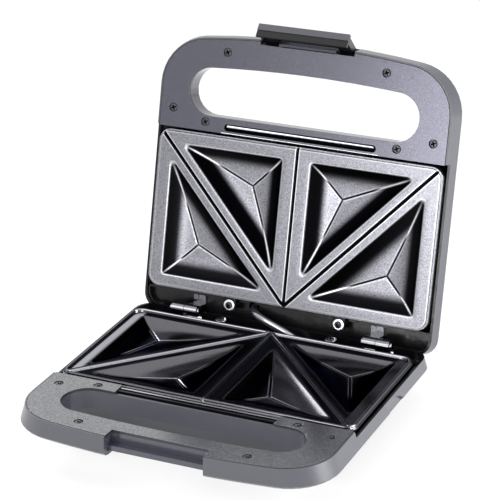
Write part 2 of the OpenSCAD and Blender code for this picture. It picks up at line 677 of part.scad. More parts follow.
lamp_x = 11;
lamp_s = plate_back + plate_d - 21.6;
lamp_r = 4;
module lamp_lens(x) {
  post(x, lamp_s, lamp_r - 0.03, shell_depth - 5, shell_depth + 0.6);
  post(x, lamp_s, lamp_r + 1, shell_depth, shell_depth + 0.8);
  // Low dome over the rim
  translate([x, -lamp_s, -shell_depth - 0.8]) intersection() {
    translate([0, 0, 5.3]) sphere(r = 6.8);
    translate([0, 0, -5]) cylinder(r = lamp_r, h = 5);
  }
}
module power_lamp_lens() color([0.75, 0.08, 0.06]) in_lid() lamp_lens(-lamp_x);
module ready_lamp_lens() color([0.1, 0.55, 0.18]) in_lid() lamp_lens(lamp_x);

// Small board on two posts that carries the lamps under their lenses
module lamp_board() color([0.10, 0.30, 0.16]) in_lid() {
  block(-26, 26, lamp_s - 7, lamp_s + 7, shell_depth - 10.6, shell_depth - 9);
  for (x = [-lamp_x, lamp_x]) post(x, lamp_s, 2, shell_depth - 9 - eps, shell_depth - 5.2);
}

// ---- Latch ----
module latch_place() translate([0, -latch_s, -latch_drop]) rotate([latch_swing, 0, 0]) children();

// Arm profile: y forwards is negative, z is up towards the parting plane and the other half
module latch_arm(x0, x1) translate([x0, 0, 0]) rotate([90, 0, 90]) linear_extrude(x1 - x0) {
  circle(knuckle_r);
  polygon([[0, -knuckle_r], [-3.3, -1.4], [-6, 2], [-6, 9], [-3, 9], [-2, 2], [0, 2]]);
}

module latch() color(grey_dark) in_lid() latch_place() difference() {
  union() {
    both_sides() latch_arm(land_half + 1.2, latch_half_w);
    translate([-latch_half_w, -6, 5.5]) cube([2 * latch_half_w, 3, 14.2]);
    // Hook along the free edge, and the finger bar outside it
    translate([-latch_half_w, -5, 18.6]) cube([2 * latch_half_w, 7.6, 2]);
    translate([-latch_half_w, -7.4, 18.6]) cube([2 * latch_half_w, 5, 2.8]);
    both_sides() translate([latch_half_w - 2, -6, 5.5]) cube([2, 5.2, 14]);
  }
  rod(-40, 40, 0, 0, latch_pin_r + run_clear);
  both_sides() translate([24.5, -7, 12.5]) cube([6, 5, 4.6]);
}

module latch_pin() color(steel) in_lid()
  rod(-pocket_half - wall, pocket_half + wall, latch_s, latch_drop, latch_pin_r);

// ---- Sleeve that carries the wires from the base to the lid ----
sleeve_r = 2.7;
sleeve_room = 1.6;                            // radial room round the sleeve where it passes a floor
sleeve_start = [-27.5, 8];                    // where it leaves the lid: x and distance from the hinge axis
sleeve_end = [19, 2.5];                       // where it enters the base
sleeve_lean = 2.5;                            // extra length of that hole, for the sleeve's slant

// A point of the lid given by x, distance s and depth n, in the frame of the hinge axis
function lid_point(x, s, n) = let (h = axis_drop + n)
  [x, -s * cos(open_angle) + h * sin(open_angle), s * sin(open_angle) + h * cos(open_angle)];
function bezier(a, b, c, d, t) = let (u = 1 - t)
  u * u * u * a + 3 * u * u * t * b + 3 * u * t * t * c + t * t * t * d;

module wiring_sleeve() color(black) translate([0, axis_y, axis_z]) {
  a = lid_point(sleeve_start[0], sleeve_start[1], floor_drop + floor_t);
  b = lid_point(sleeve_start[0] - 0.5, sleeve_start[1] - 5, -2);
  c = [sleeve_end[0] - 9, -sleeve_end[1] - 2.5, 1];
  d = [sleeve_end[0], -sleeve_end[1], axis_drop - floor_drop - floor_t];
  steps = 14;
  path = [for (i = [0 : steps]) bezier(a, b, c, d, i / steps)];
  loft([for (i = [steps : -1 : 0])
    let (t = path[min(i + 1, steps)] - path[max(i - 1, 0)], w = t / norm(t),
      u0 = cross(w, [0, 1, 0]), u = u0 / norm(u0), v = cross(w, u))
    [for (k = [0 : 13]) path[i] - sleeve_r * (cos(k * 360 / 14) * u - sin(k * 360 / 14) * v)]]);
}

base_housing();
base_handle_cover();
base_cover_screws();
base_plate();
base_plate_screws();
base_heater();
base_reflector();
base_reflector_screws();
base_hinge_lugs();
base_lug_screws();
rubber_feet();
foot_screws();
cord_gland();
terminal_block();
thermal_fuse();
lid_housing();
lid_handle_cover();
lid_cover_screws();
lid_vent_bar();
lid_plate();
lid_plate_screws();
lid_heater();
lid_reflector();
lid_reflector_screws();
lid_hinge_brackets();
lid_bracket_screws();
hinge_pins();
thermostat();
lamp_board();
power_lamp_lens();
ready_lamp_lens();
latch();
latch_pin();
wiring_sleeve();
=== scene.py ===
"""Sandwich toaster, lid open: worked surfaces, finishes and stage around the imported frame.

Lengths in the tables below are millimetres in the flat frame of one half: x runs across,
s is the distance from the hinge axis towards the handle, d is the depth below the parting plane.
"""
import json
import math

import bmesh
import bpy
import numpy as np
from mathutils import Matrix, Vector


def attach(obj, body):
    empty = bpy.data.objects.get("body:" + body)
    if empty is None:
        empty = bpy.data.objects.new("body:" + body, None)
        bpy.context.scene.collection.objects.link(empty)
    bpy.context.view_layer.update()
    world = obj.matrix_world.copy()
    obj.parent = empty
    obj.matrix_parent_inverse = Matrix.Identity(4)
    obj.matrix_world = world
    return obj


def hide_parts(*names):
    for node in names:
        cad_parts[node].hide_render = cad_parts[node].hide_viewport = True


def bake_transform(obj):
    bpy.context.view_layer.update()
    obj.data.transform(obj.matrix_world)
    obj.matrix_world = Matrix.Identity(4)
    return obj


bl_info = {
    "name": "Sandwich toaster",
    "version": (1, 0, 0),
    "blender": (4, 5, 0),
    "location": "3D View > Sidebar > Toaster",
    "description": "Builds the surfaces, finishes and stage of a sandwich toaster",
    "category": "Add Mesh",
}

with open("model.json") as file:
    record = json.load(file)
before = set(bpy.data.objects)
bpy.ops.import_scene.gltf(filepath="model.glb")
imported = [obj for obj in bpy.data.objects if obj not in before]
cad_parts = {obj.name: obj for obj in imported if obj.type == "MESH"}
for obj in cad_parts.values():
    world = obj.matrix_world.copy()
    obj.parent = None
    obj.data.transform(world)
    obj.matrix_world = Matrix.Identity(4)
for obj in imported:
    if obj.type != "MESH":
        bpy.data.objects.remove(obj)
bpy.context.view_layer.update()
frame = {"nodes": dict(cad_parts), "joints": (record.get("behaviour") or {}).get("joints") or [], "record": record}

MM = 0.001
JOINTS = {joint["name"]: joint for joint in frame["joints"]}
AXIS_Y, AXIS_Z = (value / MM for value in JOINTS["lid_hinge"]["pos_m"][1:])
LID_TURN = math.radians(JOINTS["lid_hinge"]["range_deg"][1])
LATCH_TURN = math.radians(JOINTS["latch_pivot"]["range_deg"][1])  # swing at rest, away from where it hooks
BODY_OF = {node: body for body, nodes in frame["record"]["behaviour"]["bodies"].items() for node in nodes}
SLOT_OF = {row["node"]: row["material_slot"] for row in frame["record"]["subparts"]}


# ---- Sizes of the shells ----
AXIS_DROP = 2.69                              # depth of the hinge axis
BELT_HALF = 118.0                             # half width of the belt, where a shell is widest
BACK_REACH, BACK_CORNER = 5.36, 13.0          # back of a shell behind the axis, and its corners' radius
OUTER_REACH = 8.0                             # outer walls stand within this of the belt's outline
TROUGH_UNDER = 13.5                           # underside of the floor of the trough behind the plates
STEP_S = 136.2                                # step up to the handle
BELLY_MIDDLE, BELLY_END = 65.0, STEP_S - 6    # between the belly's back and front walls; last of its inside
GRIP_HALF, GRIP_BACK, GRIP_FRONT = 90.5, 147.0, 185.6  # finger opening
GRIP_ROOM = 0.4                               # its walls stand within this of it
NOTCH_HALF = 60.0                             # half width of the notch in the lower cover's back edge
NOTCH_TOP, NOTCH_FLOOR, NOTCH_GAP = 0.6, 8.0, 1.2  # depths of its faces, and their gap from the opening
RAIL_S, RAIL_HALF, RAIL_TOP = 137.6, 0.8, 1.6  # rail at its back: s, half thickness, depth its top lies above
# Box round the latch's recess: half width and back; faces that look forwards past its front are the handle's
RECESS_HALF, RECESS_BACK, RECESS_FRONT = 42.0, 196.0, 208.0
LATCH_S, LATCH_DROP = 203.0, 5.1              # latch pivot
BAR_FOOT, BAR_BACK = 18.5, -2.3               # just under the finger bar and just behind it, from the pin

# Slabs of the vent slot: half width, s from and to, depth from and to, corner, edge, painted shade and highlight
# shares
VENT_S = 140.1
# The slot's back is a dark sheet that stands for the shade inside the slot; the bead and the bar carry painted
# highlights
VENT_SLABS = (
    (62.0, STEP_S - 0.55, STEP_S + 0.05, 0.02, 1.6, 0.25, 0.2, 0.0, 0.7),  # bead along the step
    (60.0, VENT_S - 2.5, VENT_S + 4.2, 2.2, 3.8, 1.0, 0.3, 1.0, 0.0),      # dark back of the slot
    (58.4, VENT_S - 0.1, VENT_S + 2.1, 0.15, 2.6, 1.4, 1.0, 0.0, 0.45))    # bar

# ---- Sizes of the cooking plates ----
PLATE_HALF, PLATE_BACK, PLATE_FRONT, PLATE_CORNER = 112.5, 13.6, 133.6, 9.5
SKIRT_DEPTH, SKIRT_WALL, PLATE_WALL = 8.0, 1.8, 1.8
POCKET_DEPTH, RIM_RADIUS = 7.5, 2.6
RIDGE_HEIGHT, GROOVE_DEPTH, CREASE_DEPTH = 2.0, 1.2, 0.4
CENTRE_LAND, SIDE_LAND, FRONT_LAND, BACK_LAND, DIAGONAL_LAND = 11.0, 11.5, 10.0, 9.5, 6.8
DIAGONAL_S, DIAGONAL_END = 14.6, 108.0        # where the diagonal leaves the middle, and the x it runs to
DIAGONAL_LEAN = 115.4 / DIAGONAL_END          # its rise along s for each step across
DIAGONAL_STRETCH = math.hypot(1.0, DIAGONAL_LEAN)
# Tabs behind a plate, for its screws: place and half width, reach and depths, rounding and share of painted shade
TAB_X, TAB_S, TAB_HALF = 44.0, 8.0, 5.0
TAB_BACK, TAB_TOP, TAB_FOOT = 3.5, 2.2, 4.4
TAB_CORNER, TAB_EDGE, TAB_DARK = 1.2, 0.4, 0.92
PLATE_MERGE = 4e-6                            # metres within which the points of neighbouring cells meet
# Lines along a cell's edges: distance from the plate's outline, and from the middle or the diagonal
EDGE_LINES = ((0.4, 0.0), (0.56, 0.30065), (0.72, 0.55), (0.85, 0.75), (0.97, 0.9), (1.08, 1.02),
              (1.25, 1.14), (1.45, 1.25), (1.65, 1.36), (2.25, 1.48), (2.9, 1.65), (3.25, 2.0), (3.42, 2.4),
              (3.55, 2.9), (3.75, 3.4), (4.1, 3.9))
# Rings round a pocket: distance in from its rim, then shares of the way to its middle, above and underneath
RIM_RINGS = (-1.3, -0.9, -0.6, -0.35, -0.1, 0.15, 0.4, 0.75, 1.2)
BOWL_RINGS = (0.08, 0.12, 0.17, 0.22, 0.27, 0.32, 0.37, 0.42, 0.47, 0.52, 0.58, 0.65, 0.72, 0.79, 0.86, 0.92,
              0.96, 0.985, 1.0)
UNDER_RINGS = (0.0, 0.15, 0.3, 0.5, 0.75, 1.0)
SIDE_COUNTS = {"inner": (46, 54, 60), "outer": (56, 55, 60)}  # points along the three sides of each cell
# Points round each part of a front corner, which the diagonal divides, round half a back corner of the
# outline, and round half a corner of a pocket's rim
CORNER_POINTS, BACK_POINTS, RIM_POINTS = 8, 6, 7
# Painted shade on the walls of each cell's three sides: where it starts and ends on the way in, and how dark it is
LID_SHADES = {"inner": ((0.34, 0.56, 0.99), (0.2, 0.5, 0.97), (0.36, 0.58, 1.0)),
              "outer": ((0.3, 0.54, 0.98), (0.28, 0.6, 0.99), (0.3, 0.6, 0.98))}
BASE_SHADES = {"inner": ((0.5, 1.3, 0.93), (0.3, 1.1, 0.8), (0.6, 1.2, 0.0)),
               "outer": ((0.5, 1.3, 0.93), (0.6, 1.2, 0.0), (0.7, 1.3, 0.7))}

# ---- Sizes of the screws and of the sleeve ----
# Places of a cover's screws, x and s
COVER_SCREWS = [(side * x, s) for side in (-1, 1) for x, s in ((62.4, 195.5), (102.6, 149.8), (75.6, 142.4))]
COVER_HEAD = dict(top=0.35, dome=0.12, socket_half=0.42, socket_reach=1.9, socket_depth=0.8, thickness=1.2)
PLATE_HEAD = dict(top=0.2, radius=2.7, dome=0.5, socket_half=0.4, socket_reach=1.7, socket_depth=0.9,
                  thickness=1.4)
WASHER = dict(inner=1.45, outer=4.2, top=1.6, bottom=2.2)
SLEEVE_START, SLEEVE_END = (-27.5, 8.0), (19.0, 2.5)  # where it leaves the lid and enters the base: x and s


# ---- Colour and placing ----
def linear(hex_colour):
    """sRGB hex to linear RGBA: c / 12.92 below 0.04045, else ((c + 0.055) / 1.055) ** 2.4."""
    parts = [int(hex_colour[i:i + 2], 16) / 255 for i in (1, 3, 5)]
    return tuple(c / 12.92 if c <= 0.04045 else ((c + 0.055) / 1.055) ** 2.4 for c in parts) + (1.0,)


def in_base(points):
    """Flat frame to row frame in metres: (x, axis_y - s, axis_z + axis_drop - d)."""
    x, s, d = np.moveaxis(np.asarray(points, float), -1, 0)
    return np.stack([x, AXIS_Y - s, AXIS_Z + AXIS_DROP - d], -1) * MM


def in_lid(points):
    """Flat frame of the lid to row frame: turned about the hinge axis by the opening angle."""
    x, s, d = np.moveaxis(np.asarray(points, float), -1, 0)
    h = AXIS_DROP + d
    turn_s, turn_c = math.sin(LID_TURN), math.cos(LID_TURN)
    return np.stack([x, AXIS_Y - s * turn_c + h * turn_s, AXIS_Z + s * turn_s + h * turn_c], -1) * MM


def flat_of(points, body):
    """Row frame in metres back to the flat frame of the base or of the lid, in millimetres."""
    x, y, z = np.moveaxis(np.asarray(points, float) / MM, -1, 0)
    if body == "base":
        return np.stack([x, AXIS_Y - y, AXIS_Z + AXIS_DROP - z], -1)
    a, b = AXIS_Y - y, z - AXIS_Z
    turn_s, turn_c = math.sin(LID_TURN), math.cos(LID_TURN)
    return np.stack([x, a * turn_c + b * turn_s, b * turn_c - a * turn_s - AXIS_DROP], -1)


# ---- Curves and grids ----
def smooth_step(low, high, value):
    """3t^2 - 2t^3 of the value's place t between low and high, held to 0..1."""
    t = np.clip((value - low) / (high - low), 0.0, 1.0)
    return t * t * (3 - 2 * t)


def line_points(start, end, count, include_end=False):
    """Straight run whose steps shrink towards both ends: t = 0.8 (1 - cos(pi u)) / 2 + 0.2 u."""
    u = np.linspace(0, 1, count, endpoint=include_end)
    t = (0.4 * (1 - np.cos(np.pi * u)) + 0.2 * u)[:, None]
    return np.asarray(start) * (1 - t) + np.asarray(end) * t


def arc_points(centre, radius, start, end, count):
    """Arc between two angles in radians, without its last point: centre + radius (cos, sin)."""
    a = np.linspace(start, end, count, endpoint=False)
    return np.asarray(centre) + radius * np.stack([np.cos(a), np.sin(a)], -1)


def bezier_path(ends, count):
    """Cubic curve u^3 a + 3 u^2 t b + 3 u t^2 c + t^3 d with u = 1 - t."""
    t = np.linspace(0, 1, count)[:, None]
    a, b, c, d = (np.asarray(end) for end in ends)
    return (1 - t) ** 3 * a + 3 * (1 - t) ** 2 * t * b + 3 * (1 - t) * t ** 2 * c + t ** 3 * d


def grid_faces(rows, columns, close_rows=False, close_columns=False):
    """Quads over a grid of rows by columns points; a closed direction joins its last line to its first."""
    r = np.arange(rows if close_rows else rows - 1)
    c = np.arange(columns if close_columns else columns - 1)
    r, c = np.meshgrid(r, c, indexing="ij")
    r1, c1 = (r + 1) % rows, (c + 1) % columns
    corners = [r * columns + c, r * columns + c1, r1 * columns + c1, r1 * columns + c]
    return np.stack(corners, -1).reshape(-1, 4)


def slab(x0, x1, s0, s1, d0, d1, corner, edge):
    """Plate with rounded corners and edges: rings of a rounded rectangle, inset by edge (1 - cos a) while
    the depth turns through edge sin a at the top and at the bottom, and closed by a point at each face."""
    a = np.linspace(0, np.pi / 2, 4)
    insets = np.concatenate([[min(x1 - x0, s1 - s0) / 2], edge * (1 - np.sin(a)), edge * (1 - np.cos(a)),
                             [min(x1 - x0, s1 - s0) / 2]])
    depths = np.concatenate([[d0], d0 + edge * (1 - np.cos(a)), d1 - edge * (1 - np.sin(a)), [d1]])
    turn = np.linspace(0, 2 * np.pi, 32, endpoint=False)
    cx, cs = (x0 + x1) / 2, (s0 + s1) / 2
    signs_x, signs_s = np.sign(np.cos(turn + 0.01)), np.sign(np.sin(turn + 0.01))
    radius = np.maximum(corner - insets, 0)[:, None]
    half_x = np.maximum((x1 - x0) / 2 - insets, 0)[:, None]
    half_s = np.maximum((s1 - s0) / 2 - insets, 0)[:, None]
    radius = np.minimum(radius, np.minimum(half_x, half_s))
    x = cx + signs_x * (half_x - radius) + radius * np.cos(turn)
    s = cs + signs_s * (half_s - radius) + radius * np.sin(turn)
    grid = np.stack([x, s, np.broadcast_to(depths[:, None], x.shape)], -1)
    return grid.reshape(-1, 3), grid_faces(*grid.shape[:2], close_columns=True)


def carried_ring(path, radius, around):
    """Tube: a ring of the radius carried along a path, square to it, with a point closing each end."""
    way = np.gradient(path, axis=0)
    way /= np.linalg.norm(way, axis=1)[:, None]
    side = np.cross(way, (0.0, 1.0, 0.0))
    side /= np.linalg.norm(side, axis=1)[:, None]
    up = np.cross(way, side)
    a = np.linspace(0, 2 * np.pi, around, endpoint=False)
    ring = np.cos(a)[None, :, None] * side[:, None] + np.sin(a)[None, :, None] * up[:, None]
    grid = path[:, None] + radius * ring
    grid = np.concatenate([np.repeat(path[:1, None], around, 1), grid, np.repeat(path[-1:, None], around, 1)])
    return grid.reshape(-1, 3), grid_faces(*grid.shape[:2], close_columns=True)


def washer_ring(x, s, inner, outer, top, bottom):
    """Flat ring with rounded edges: a closed rounded-rectangle section, |u / a|^6 + |v / b|^6 = 1, turned
    about the screw."""
    t = np.linspace(0, 2 * np.pi, 20, endpoint=False)
    c, sn = np.cos(t), np.sin(t)
    reach = (np.abs(c) ** 6 + np.abs(sn) ** 6) ** (-1 / 6)
    r = (inner + outer) / 2 + (outer - inner) / 2 * reach * c
    d = (top + bottom) / 2 + (bottom - top) / 2 * reach * sn
    a = np.linspace(0, 2 * np.pi, 44, endpoint=False)[:, None]
    grid = np.stack([x + r * np.cos(a), s + r * np.sin(a), np.broadcast_to(d, (44, 20))], -1)
    shares = np.tile([0.0, 1.0], (grid.shape[0] * grid.shape[1], 1))
    return grid.reshape(-1, 3), grid_faces(44, 20, close_rows=True, close_columns=True), shares


def screw_blade(across, along, half, reach):
    """Share of a socket's blade at a point: one within half its width across and its reach along."""
    return (1 - smooth_step(half * 0.8, half * 1.25, np.abs(across))) * (
        1 - smooth_step(reach * 0.85, reach * 1.1, np.abs(along)))


def polar_head(x, s, top, radius, dome, socket_half, socket_reach, socket_depth, thickness):
    """Screw head as a polar grid: its top falls from the middle by dome (r / R)^2 and turns down at the rim
    through a quarter circle; a cross socket is cut where a point is within half the blade's width of one
    axis and within its reach of the other; the side goes down to the thickness and closes underneath. The
    socket is painted dark in the tone, as painted shade."""
    face_rings, around, socket_turn = 15, 56, 0.35
    rounding = 0.18 * radius
    rim_turn = np.linspace(0.25, 1, 4) * np.pi / 2
    r = np.concatenate([np.linspace(0, radius - rounding, face_rings),
                        radius - rounding + rounding * np.sin(rim_turn), [radius, 0.0]])
    turned = np.concatenate([np.zeros(face_rings), rounding * (1 - np.cos(rim_turn)), [thickness, thickness]])
    a = np.linspace(0, 2 * np.pi, around, endpoint=False)
    u, v = r[:, None] * np.cos(a), r[:, None] * np.sin(a)
    blades = [screw_blade(*pair, socket_half, socket_reach) for pair in ((u, v), (v, u))]
    cross = np.maximum(*blades) * (np.arange(len(r)) < face_rings)[:, None]
    fall = np.minimum(dome * (r / radius) ** 2, dome) + turned
    grid = np.stack([x + r[:, None] * np.cos(a + socket_turn), s + r[:, None] * np.sin(a + socket_turn),
                     top + fall[:, None] + socket_depth * cross], -1)
    tone = np.stack([np.clip(cross * 1.2, 0, 1), np.zeros_like(cross)], -1)
    return grid.reshape(-1, 3), grid_faces(*grid.shape[:2], close_columns=True), tone.reshape(-1, 2)


# ---- Pieces ----
def new_piece(name, points, faces, material, body, slot=None, smooth=35, merge=1e-6, replaces=(), tone=None):
    """Mesh object from points and faces: doubles merged, normals outwards, shading smooth below an angle.
    A tone gives each point its dark and bright shares as the red and green of an attribute."""
    mesh = bpy.data.meshes.new(name)
    mesh.from_pydata(np.asarray(points).reshape(-1, 3).tolist(), [], [tuple(f) for f in faces])
    if tone is not None:
        layer = mesh.attributes.new("tone", "FLOAT_COLOR", "POINT")
        shares = np.concatenate([tone, np.zeros((len(tone), 1)), np.ones((len(tone), 1))], -1)
        layer.data.foreach_set("color", shares.astype(np.float32).reshape(-1))
    work = bmesh.new()
    work.from_mesh(mesh)
    bmesh.ops.remove_doubles(work, verts=work.verts, dist=merge)
    bmesh.ops.recalc_face_normals(work, faces=work.faces)
    work.to_mesh(mesh)
    work.free()
    return finish_piece(name, mesh, material, body, smooth, replaces)


def finish_piece(name, mesh, material, body, smooth, replaces):
    """Links the object, sets its shading, finish and body, and hides the nodes it stands for."""
    mesh.shade_smooth()
    mesh.set_sharp_from_angle(angle=math.radians(smooth))
    mesh.materials.clear()
    mesh.materials.append(material)
    piece = bpy.data.objects.new(name, mesh)
    bpy.context.scene.collection.objects.link(piece)
    if body:
        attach(piece, body)
    if replaces:
        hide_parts(*replaces)
    return piece


def gathered(name, parts, place, material, node, **settings):
    """One piece out of several grids of points, faces and tones; the settings go on to new_piece."""
    points, faces, tones = zip(*parts)
    offsets = np.cumsum([0] + [len(grid) for grid in points[:-1]])
    faces = np.concatenate([quads + offset for quads, offset in zip(faces, offsets)])
    return new_piece(name, place(np.concatenate(points)), faces, material, BODY_OF[node],
                     replaces=(node,), tone=np.concatenate(tones), **settings)


SOLID_MERGE = 2e-6                            # metres within which the points of a solid's triangles meet
# Degrees between faces: joined flat below the first, smooth below the second, rounded above the third
FLAT_TURN, SMOOTH_TURN, EDGE_TURN = 0.6, 32, 40


def dressed_copy(node, material, rounding, more=(), where=None, body=None):
    """Copy of a node's solid with its doubles merged, flat regions joined and its edges rounded by a radius
    in metres. The test, given face middles and normals in the flat frame of the base or of the lid, tells
    which of the further finishes each face has, 0 for the first."""
    mesh = frame["nodes"][node].data.copy()
    work = bmesh.new()
    work.from_mesh(mesh)
    bmesh.ops.remove_doubles(work, verts=work.verts, dist=SOLID_MERGE)
    bmesh.ops.dissolve_limit(work, angle_limit=math.radians(FLAT_TURN), verts=work.verts, edges=work.edges,
                             use_dissolve_boundaries=False)
    work.to_mesh(mesh)
    work.free()
    piece = finish_piece(node + "_dressed", mesh, material, BODY_OF[node], SMOOTH_TURN,
                         (node,))
    if more:
        for finish in more:
            mesh.materials.append(finish)
        middles, normals = np.empty(len(mesh.polygons) * 3), np.empty(len(mesh.polygons) * 3)
        mesh.polygons.foreach_get("center", middles)
        mesh.polygons.foreach_get("normal", normals)
        middles, normals = middles.reshape(-1, 3), normals.reshape(-1, 3)
        flat = flat_of(middles, body)
        facing = flat_of(middles + normals * MM, body) - flat
        mesh.polygons.foreach_set("material_index", where(flat, facing).astype(np.int32))
    bevel = piece.modifiers.new("Rounded edges", "BEVEL")
    bevel.width = rounding
    bevel.segments = 2
    bevel.limit_method = "ANGLE"
    bevel.angle_limit = math.radians(EDGE_TURN)
    bevel.use_clamp_overlap = True
    bevel.miter_outer = "MITER_ARC"
    even = piece.modifiers.new("Even shading", "WEIGHTED_NORMAL")
    even.mode = "FACE_AREA"
    even.weight = 100
    even.keep_sharp = True
    return piece


# ---- Which finish a face has ----
def inside_shell(flat, facing):
    """Faces of a shell's inside: near the parting plane those more than a millimetre in from the belt's
    outline and behind the step; deeper ones those that face the middle or the parting plane."""
    x, s, d = flat.T
    side, back, outward = BELT_HALF - np.abs(x), s + BACK_REACH, facing[:, 0] * np.sign(x)
    corner = BACK_CORNER - np.hypot(np.maximum(BACK_CORNER - side, 0), np.maximum(BACK_CORNER - back, 0))
    inset = np.where((side < BACK_CORNER) & (back < BACK_CORNER), corner, np.minimum(side, back))
    outer_wall = ((side < OUTER_REACH) & (outward > 0.25)) | ((back < OUTER_REACH) & (facing[:, 1] < -0.25))
    deep = d >= TROUGH_UNDER + 0.1
    shallow = ~deep & (inset > 1.0) & (s < STEP_S + 0.2) & ~outer_wall
    inward = (outward < 0.3) & (facing[:, 1] * np.sign(s - BELLY_MIDDLE) < 0.3) & (facing[:, 2] < 0.05)
    return shallow | (deep & (s < BELLY_END) & inward)


def shell_finish(flat, facing):
    """Which finish a shell's face has: 1 inside, 2 on the walls of the finger opening and of the latch's
    recess, 3 on top of the rail at the back of the cover's notch, brighter than the cover as a painted
    highlight, 0 elsewhere."""
    x, s, d = flat.T
    across = np.abs(x)
    kind = inside_shell(flat, facing).astype(int)
    opening = (across < GRIP_HALF + GRIP_ROOM) & (s > GRIP_BACK - GRIP_ROOM) & (s < GRIP_FRONT + GRIP_ROOM)
    kind[(np.abs(facing[:, 2]) < 0.6) & opening] = 2
    kind[(across < RECESS_HALF) & (s > RECESS_BACK) & ~((facing[:, 1] > 0.5) & (s > RECESS_FRONT))] = 2
    notch = (across < NOTCH_HALF + 0.2) & (s > STEP_S - 0.2) & (s < GRIP_BACK - NOTCH_GAP)
    notch &= (d > NOTCH_TOP) & (d < NOTCH_FLOOR)
    kind[notch] = 1
    rail = (np.abs(s - RAIL_S - RAIL_HALF) < RAIL_HALF + 0.05) & (facing[:, 2] < -0.5) & (d < RAIL_TOP)
    kind[notch & rail] = 3
    return kind


def cover_finish(flat, facing):
    """Which finish a cover's face has: 1 on its thin edges, painted dark as the shadow in the gap where it
    meets the shell, 0 on its face.
    """
    return (np.abs(facing[:, 2]) < 0.5).astype(int)


def latch_finish(flat, facing):
    """Which finish a latch's face has, judged in its own frame about its pin: 0 on its finger bar, else 1."""
    y, z = LATCH_S - flat[:, 1], LATCH_DROP - flat[:, 2]
    across = y * math.cos(LATCH_TURN) + z * math.sin(LATCH_TURN)
    height = z * math.cos(LATCH_TURN) - y * math.sin(LATCH_TURN)
    return (~((height > BAR_FOOT) & (across < BAR_BACK))).astype(int)


# ---- Cooking plates ----
def meet_corner(centre, radius, shift):
    """Far crossing of the diagonal, moved along s by the shift, with a circle, and its angle."""
    along = np.array([1.0, DIAGONAL_LEAN]) / DIAGONAL_STRETCH
    from_centre = np.array([0.0, DIAGONAL_S + shift]) - centre
    b = from_centre @ along
    reach = -b + math.sqrt(b * b - from_centre @ from_centre + radius * radius)
    point = np.array([0.0, DIAGONAL_S + shift]) + reach * along
    return point, math.atan2(*(point - centre)[::-1])


def cell_line(cell, outer, inner):
    """Closed line inside a cell's edges: its sides keep one distance from the plate's outline and another
    from the middle or the diagonal, its ends are where the moved sides cross, and the outline's corners
    stay arcs about the same centres."""
    front, back, side = PLATE_FRONT - outer, PLATE_BACK + outer, PLATE_HALF - outer
    radius, shift = PLATE_CORNER - outer, DIAGONAL_STRETCH * inner
    front_centre = np.array([PLATE_HALF - PLATE_CORNER, PLATE_FRONT - PLATE_CORNER])
    back_centre = np.array([PLATE_HALF - PLATE_CORNER, PLATE_BACK + PLATE_CORNER])
    first, second, third = SIDE_COUNTS[cell]
    if cell == "inner":
        end, turn = meet_corner(front_centre, radius, shift)
        start = (inner, DIAGONAL_S + DIAGONAL_LEAN * inner + shift)
        return np.concatenate([
            line_points(start, (inner, front), first),
            line_points((inner, front), (front_centre[0], front), second - CORNER_POINTS),
            arc_points(front_centre, radius, math.pi / 2, turn, CORNER_POINTS),
            line_points(end, start, third)])
    end, turn = meet_corner(front_centre, radius, -shift)
    x = max(0.0, (back - DIAGONAL_S + shift) / DIAGONAL_LEAN)
    return np.concatenate([
        arc_points(front_centre, radius, turn, 0.0, CORNER_POINTS),
        line_points((side, front_centre[1]), (side, back_centre[1]), first - CORNER_POINTS - BACK_POINTS),
        arc_points(back_centre, radius, 0.0, -math.pi / 4, BACK_POINTS),
        arc_points(back_centre, radius, -math.pi / 4, -math.pi / 2, BACK_POINTS),
        line_points((back_centre[0], back), (x, back), second - BACK_POINTS, include_end=True),
        line_points((x, DIAGONAL_S + DIAGONAL_LEAN * x - shift), end, third)])


def pocket_corners(cell):
    """Corners of a cell's pocket, from the widths of the lands round it, in the order of the cell's sides."""
    lift = DIAGONAL_LAND * DIAGONAL_STRETCH
    front, back, side = PLATE_FRONT - FRONT_LAND, PLATE_BACK + BACK_LAND, PLATE_HALF - SIDE_LAND
    if cell == "inner":
        return np.array([[CENTRE_LAND, DIAGONAL_S + DIAGONAL_LEAN * CENTRE_LAND + lift], [CENTRE_LAND, front],
                         [(front - lift - DIAGONAL_S) / DIAGONAL_LEAN, front]])
    return np.array([[side, DIAGONAL_S + DIAGONAL_LEAN * side - lift], [side, back],
                     [(back + lift - DIAGONAL_S) / DIAGONAL_LEAN, back]])


def triangle_centre(corners):
    """Centre and radius of the circle that touches the three sides: the corners weighted by the sides
    opposite, and twice the area over the round length."""
    sides = np.array([np.linalg.norm(corners[(i + 1) % 3] - corners[(i + 2) % 3]) for i in range(3)])
    u, v = corners[1] - corners[0], corners[2] - corners[0]
    return sides @ corners / sides.sum(), abs(u[0] * v[1] - u[1] * v[0]) / sides.sum()


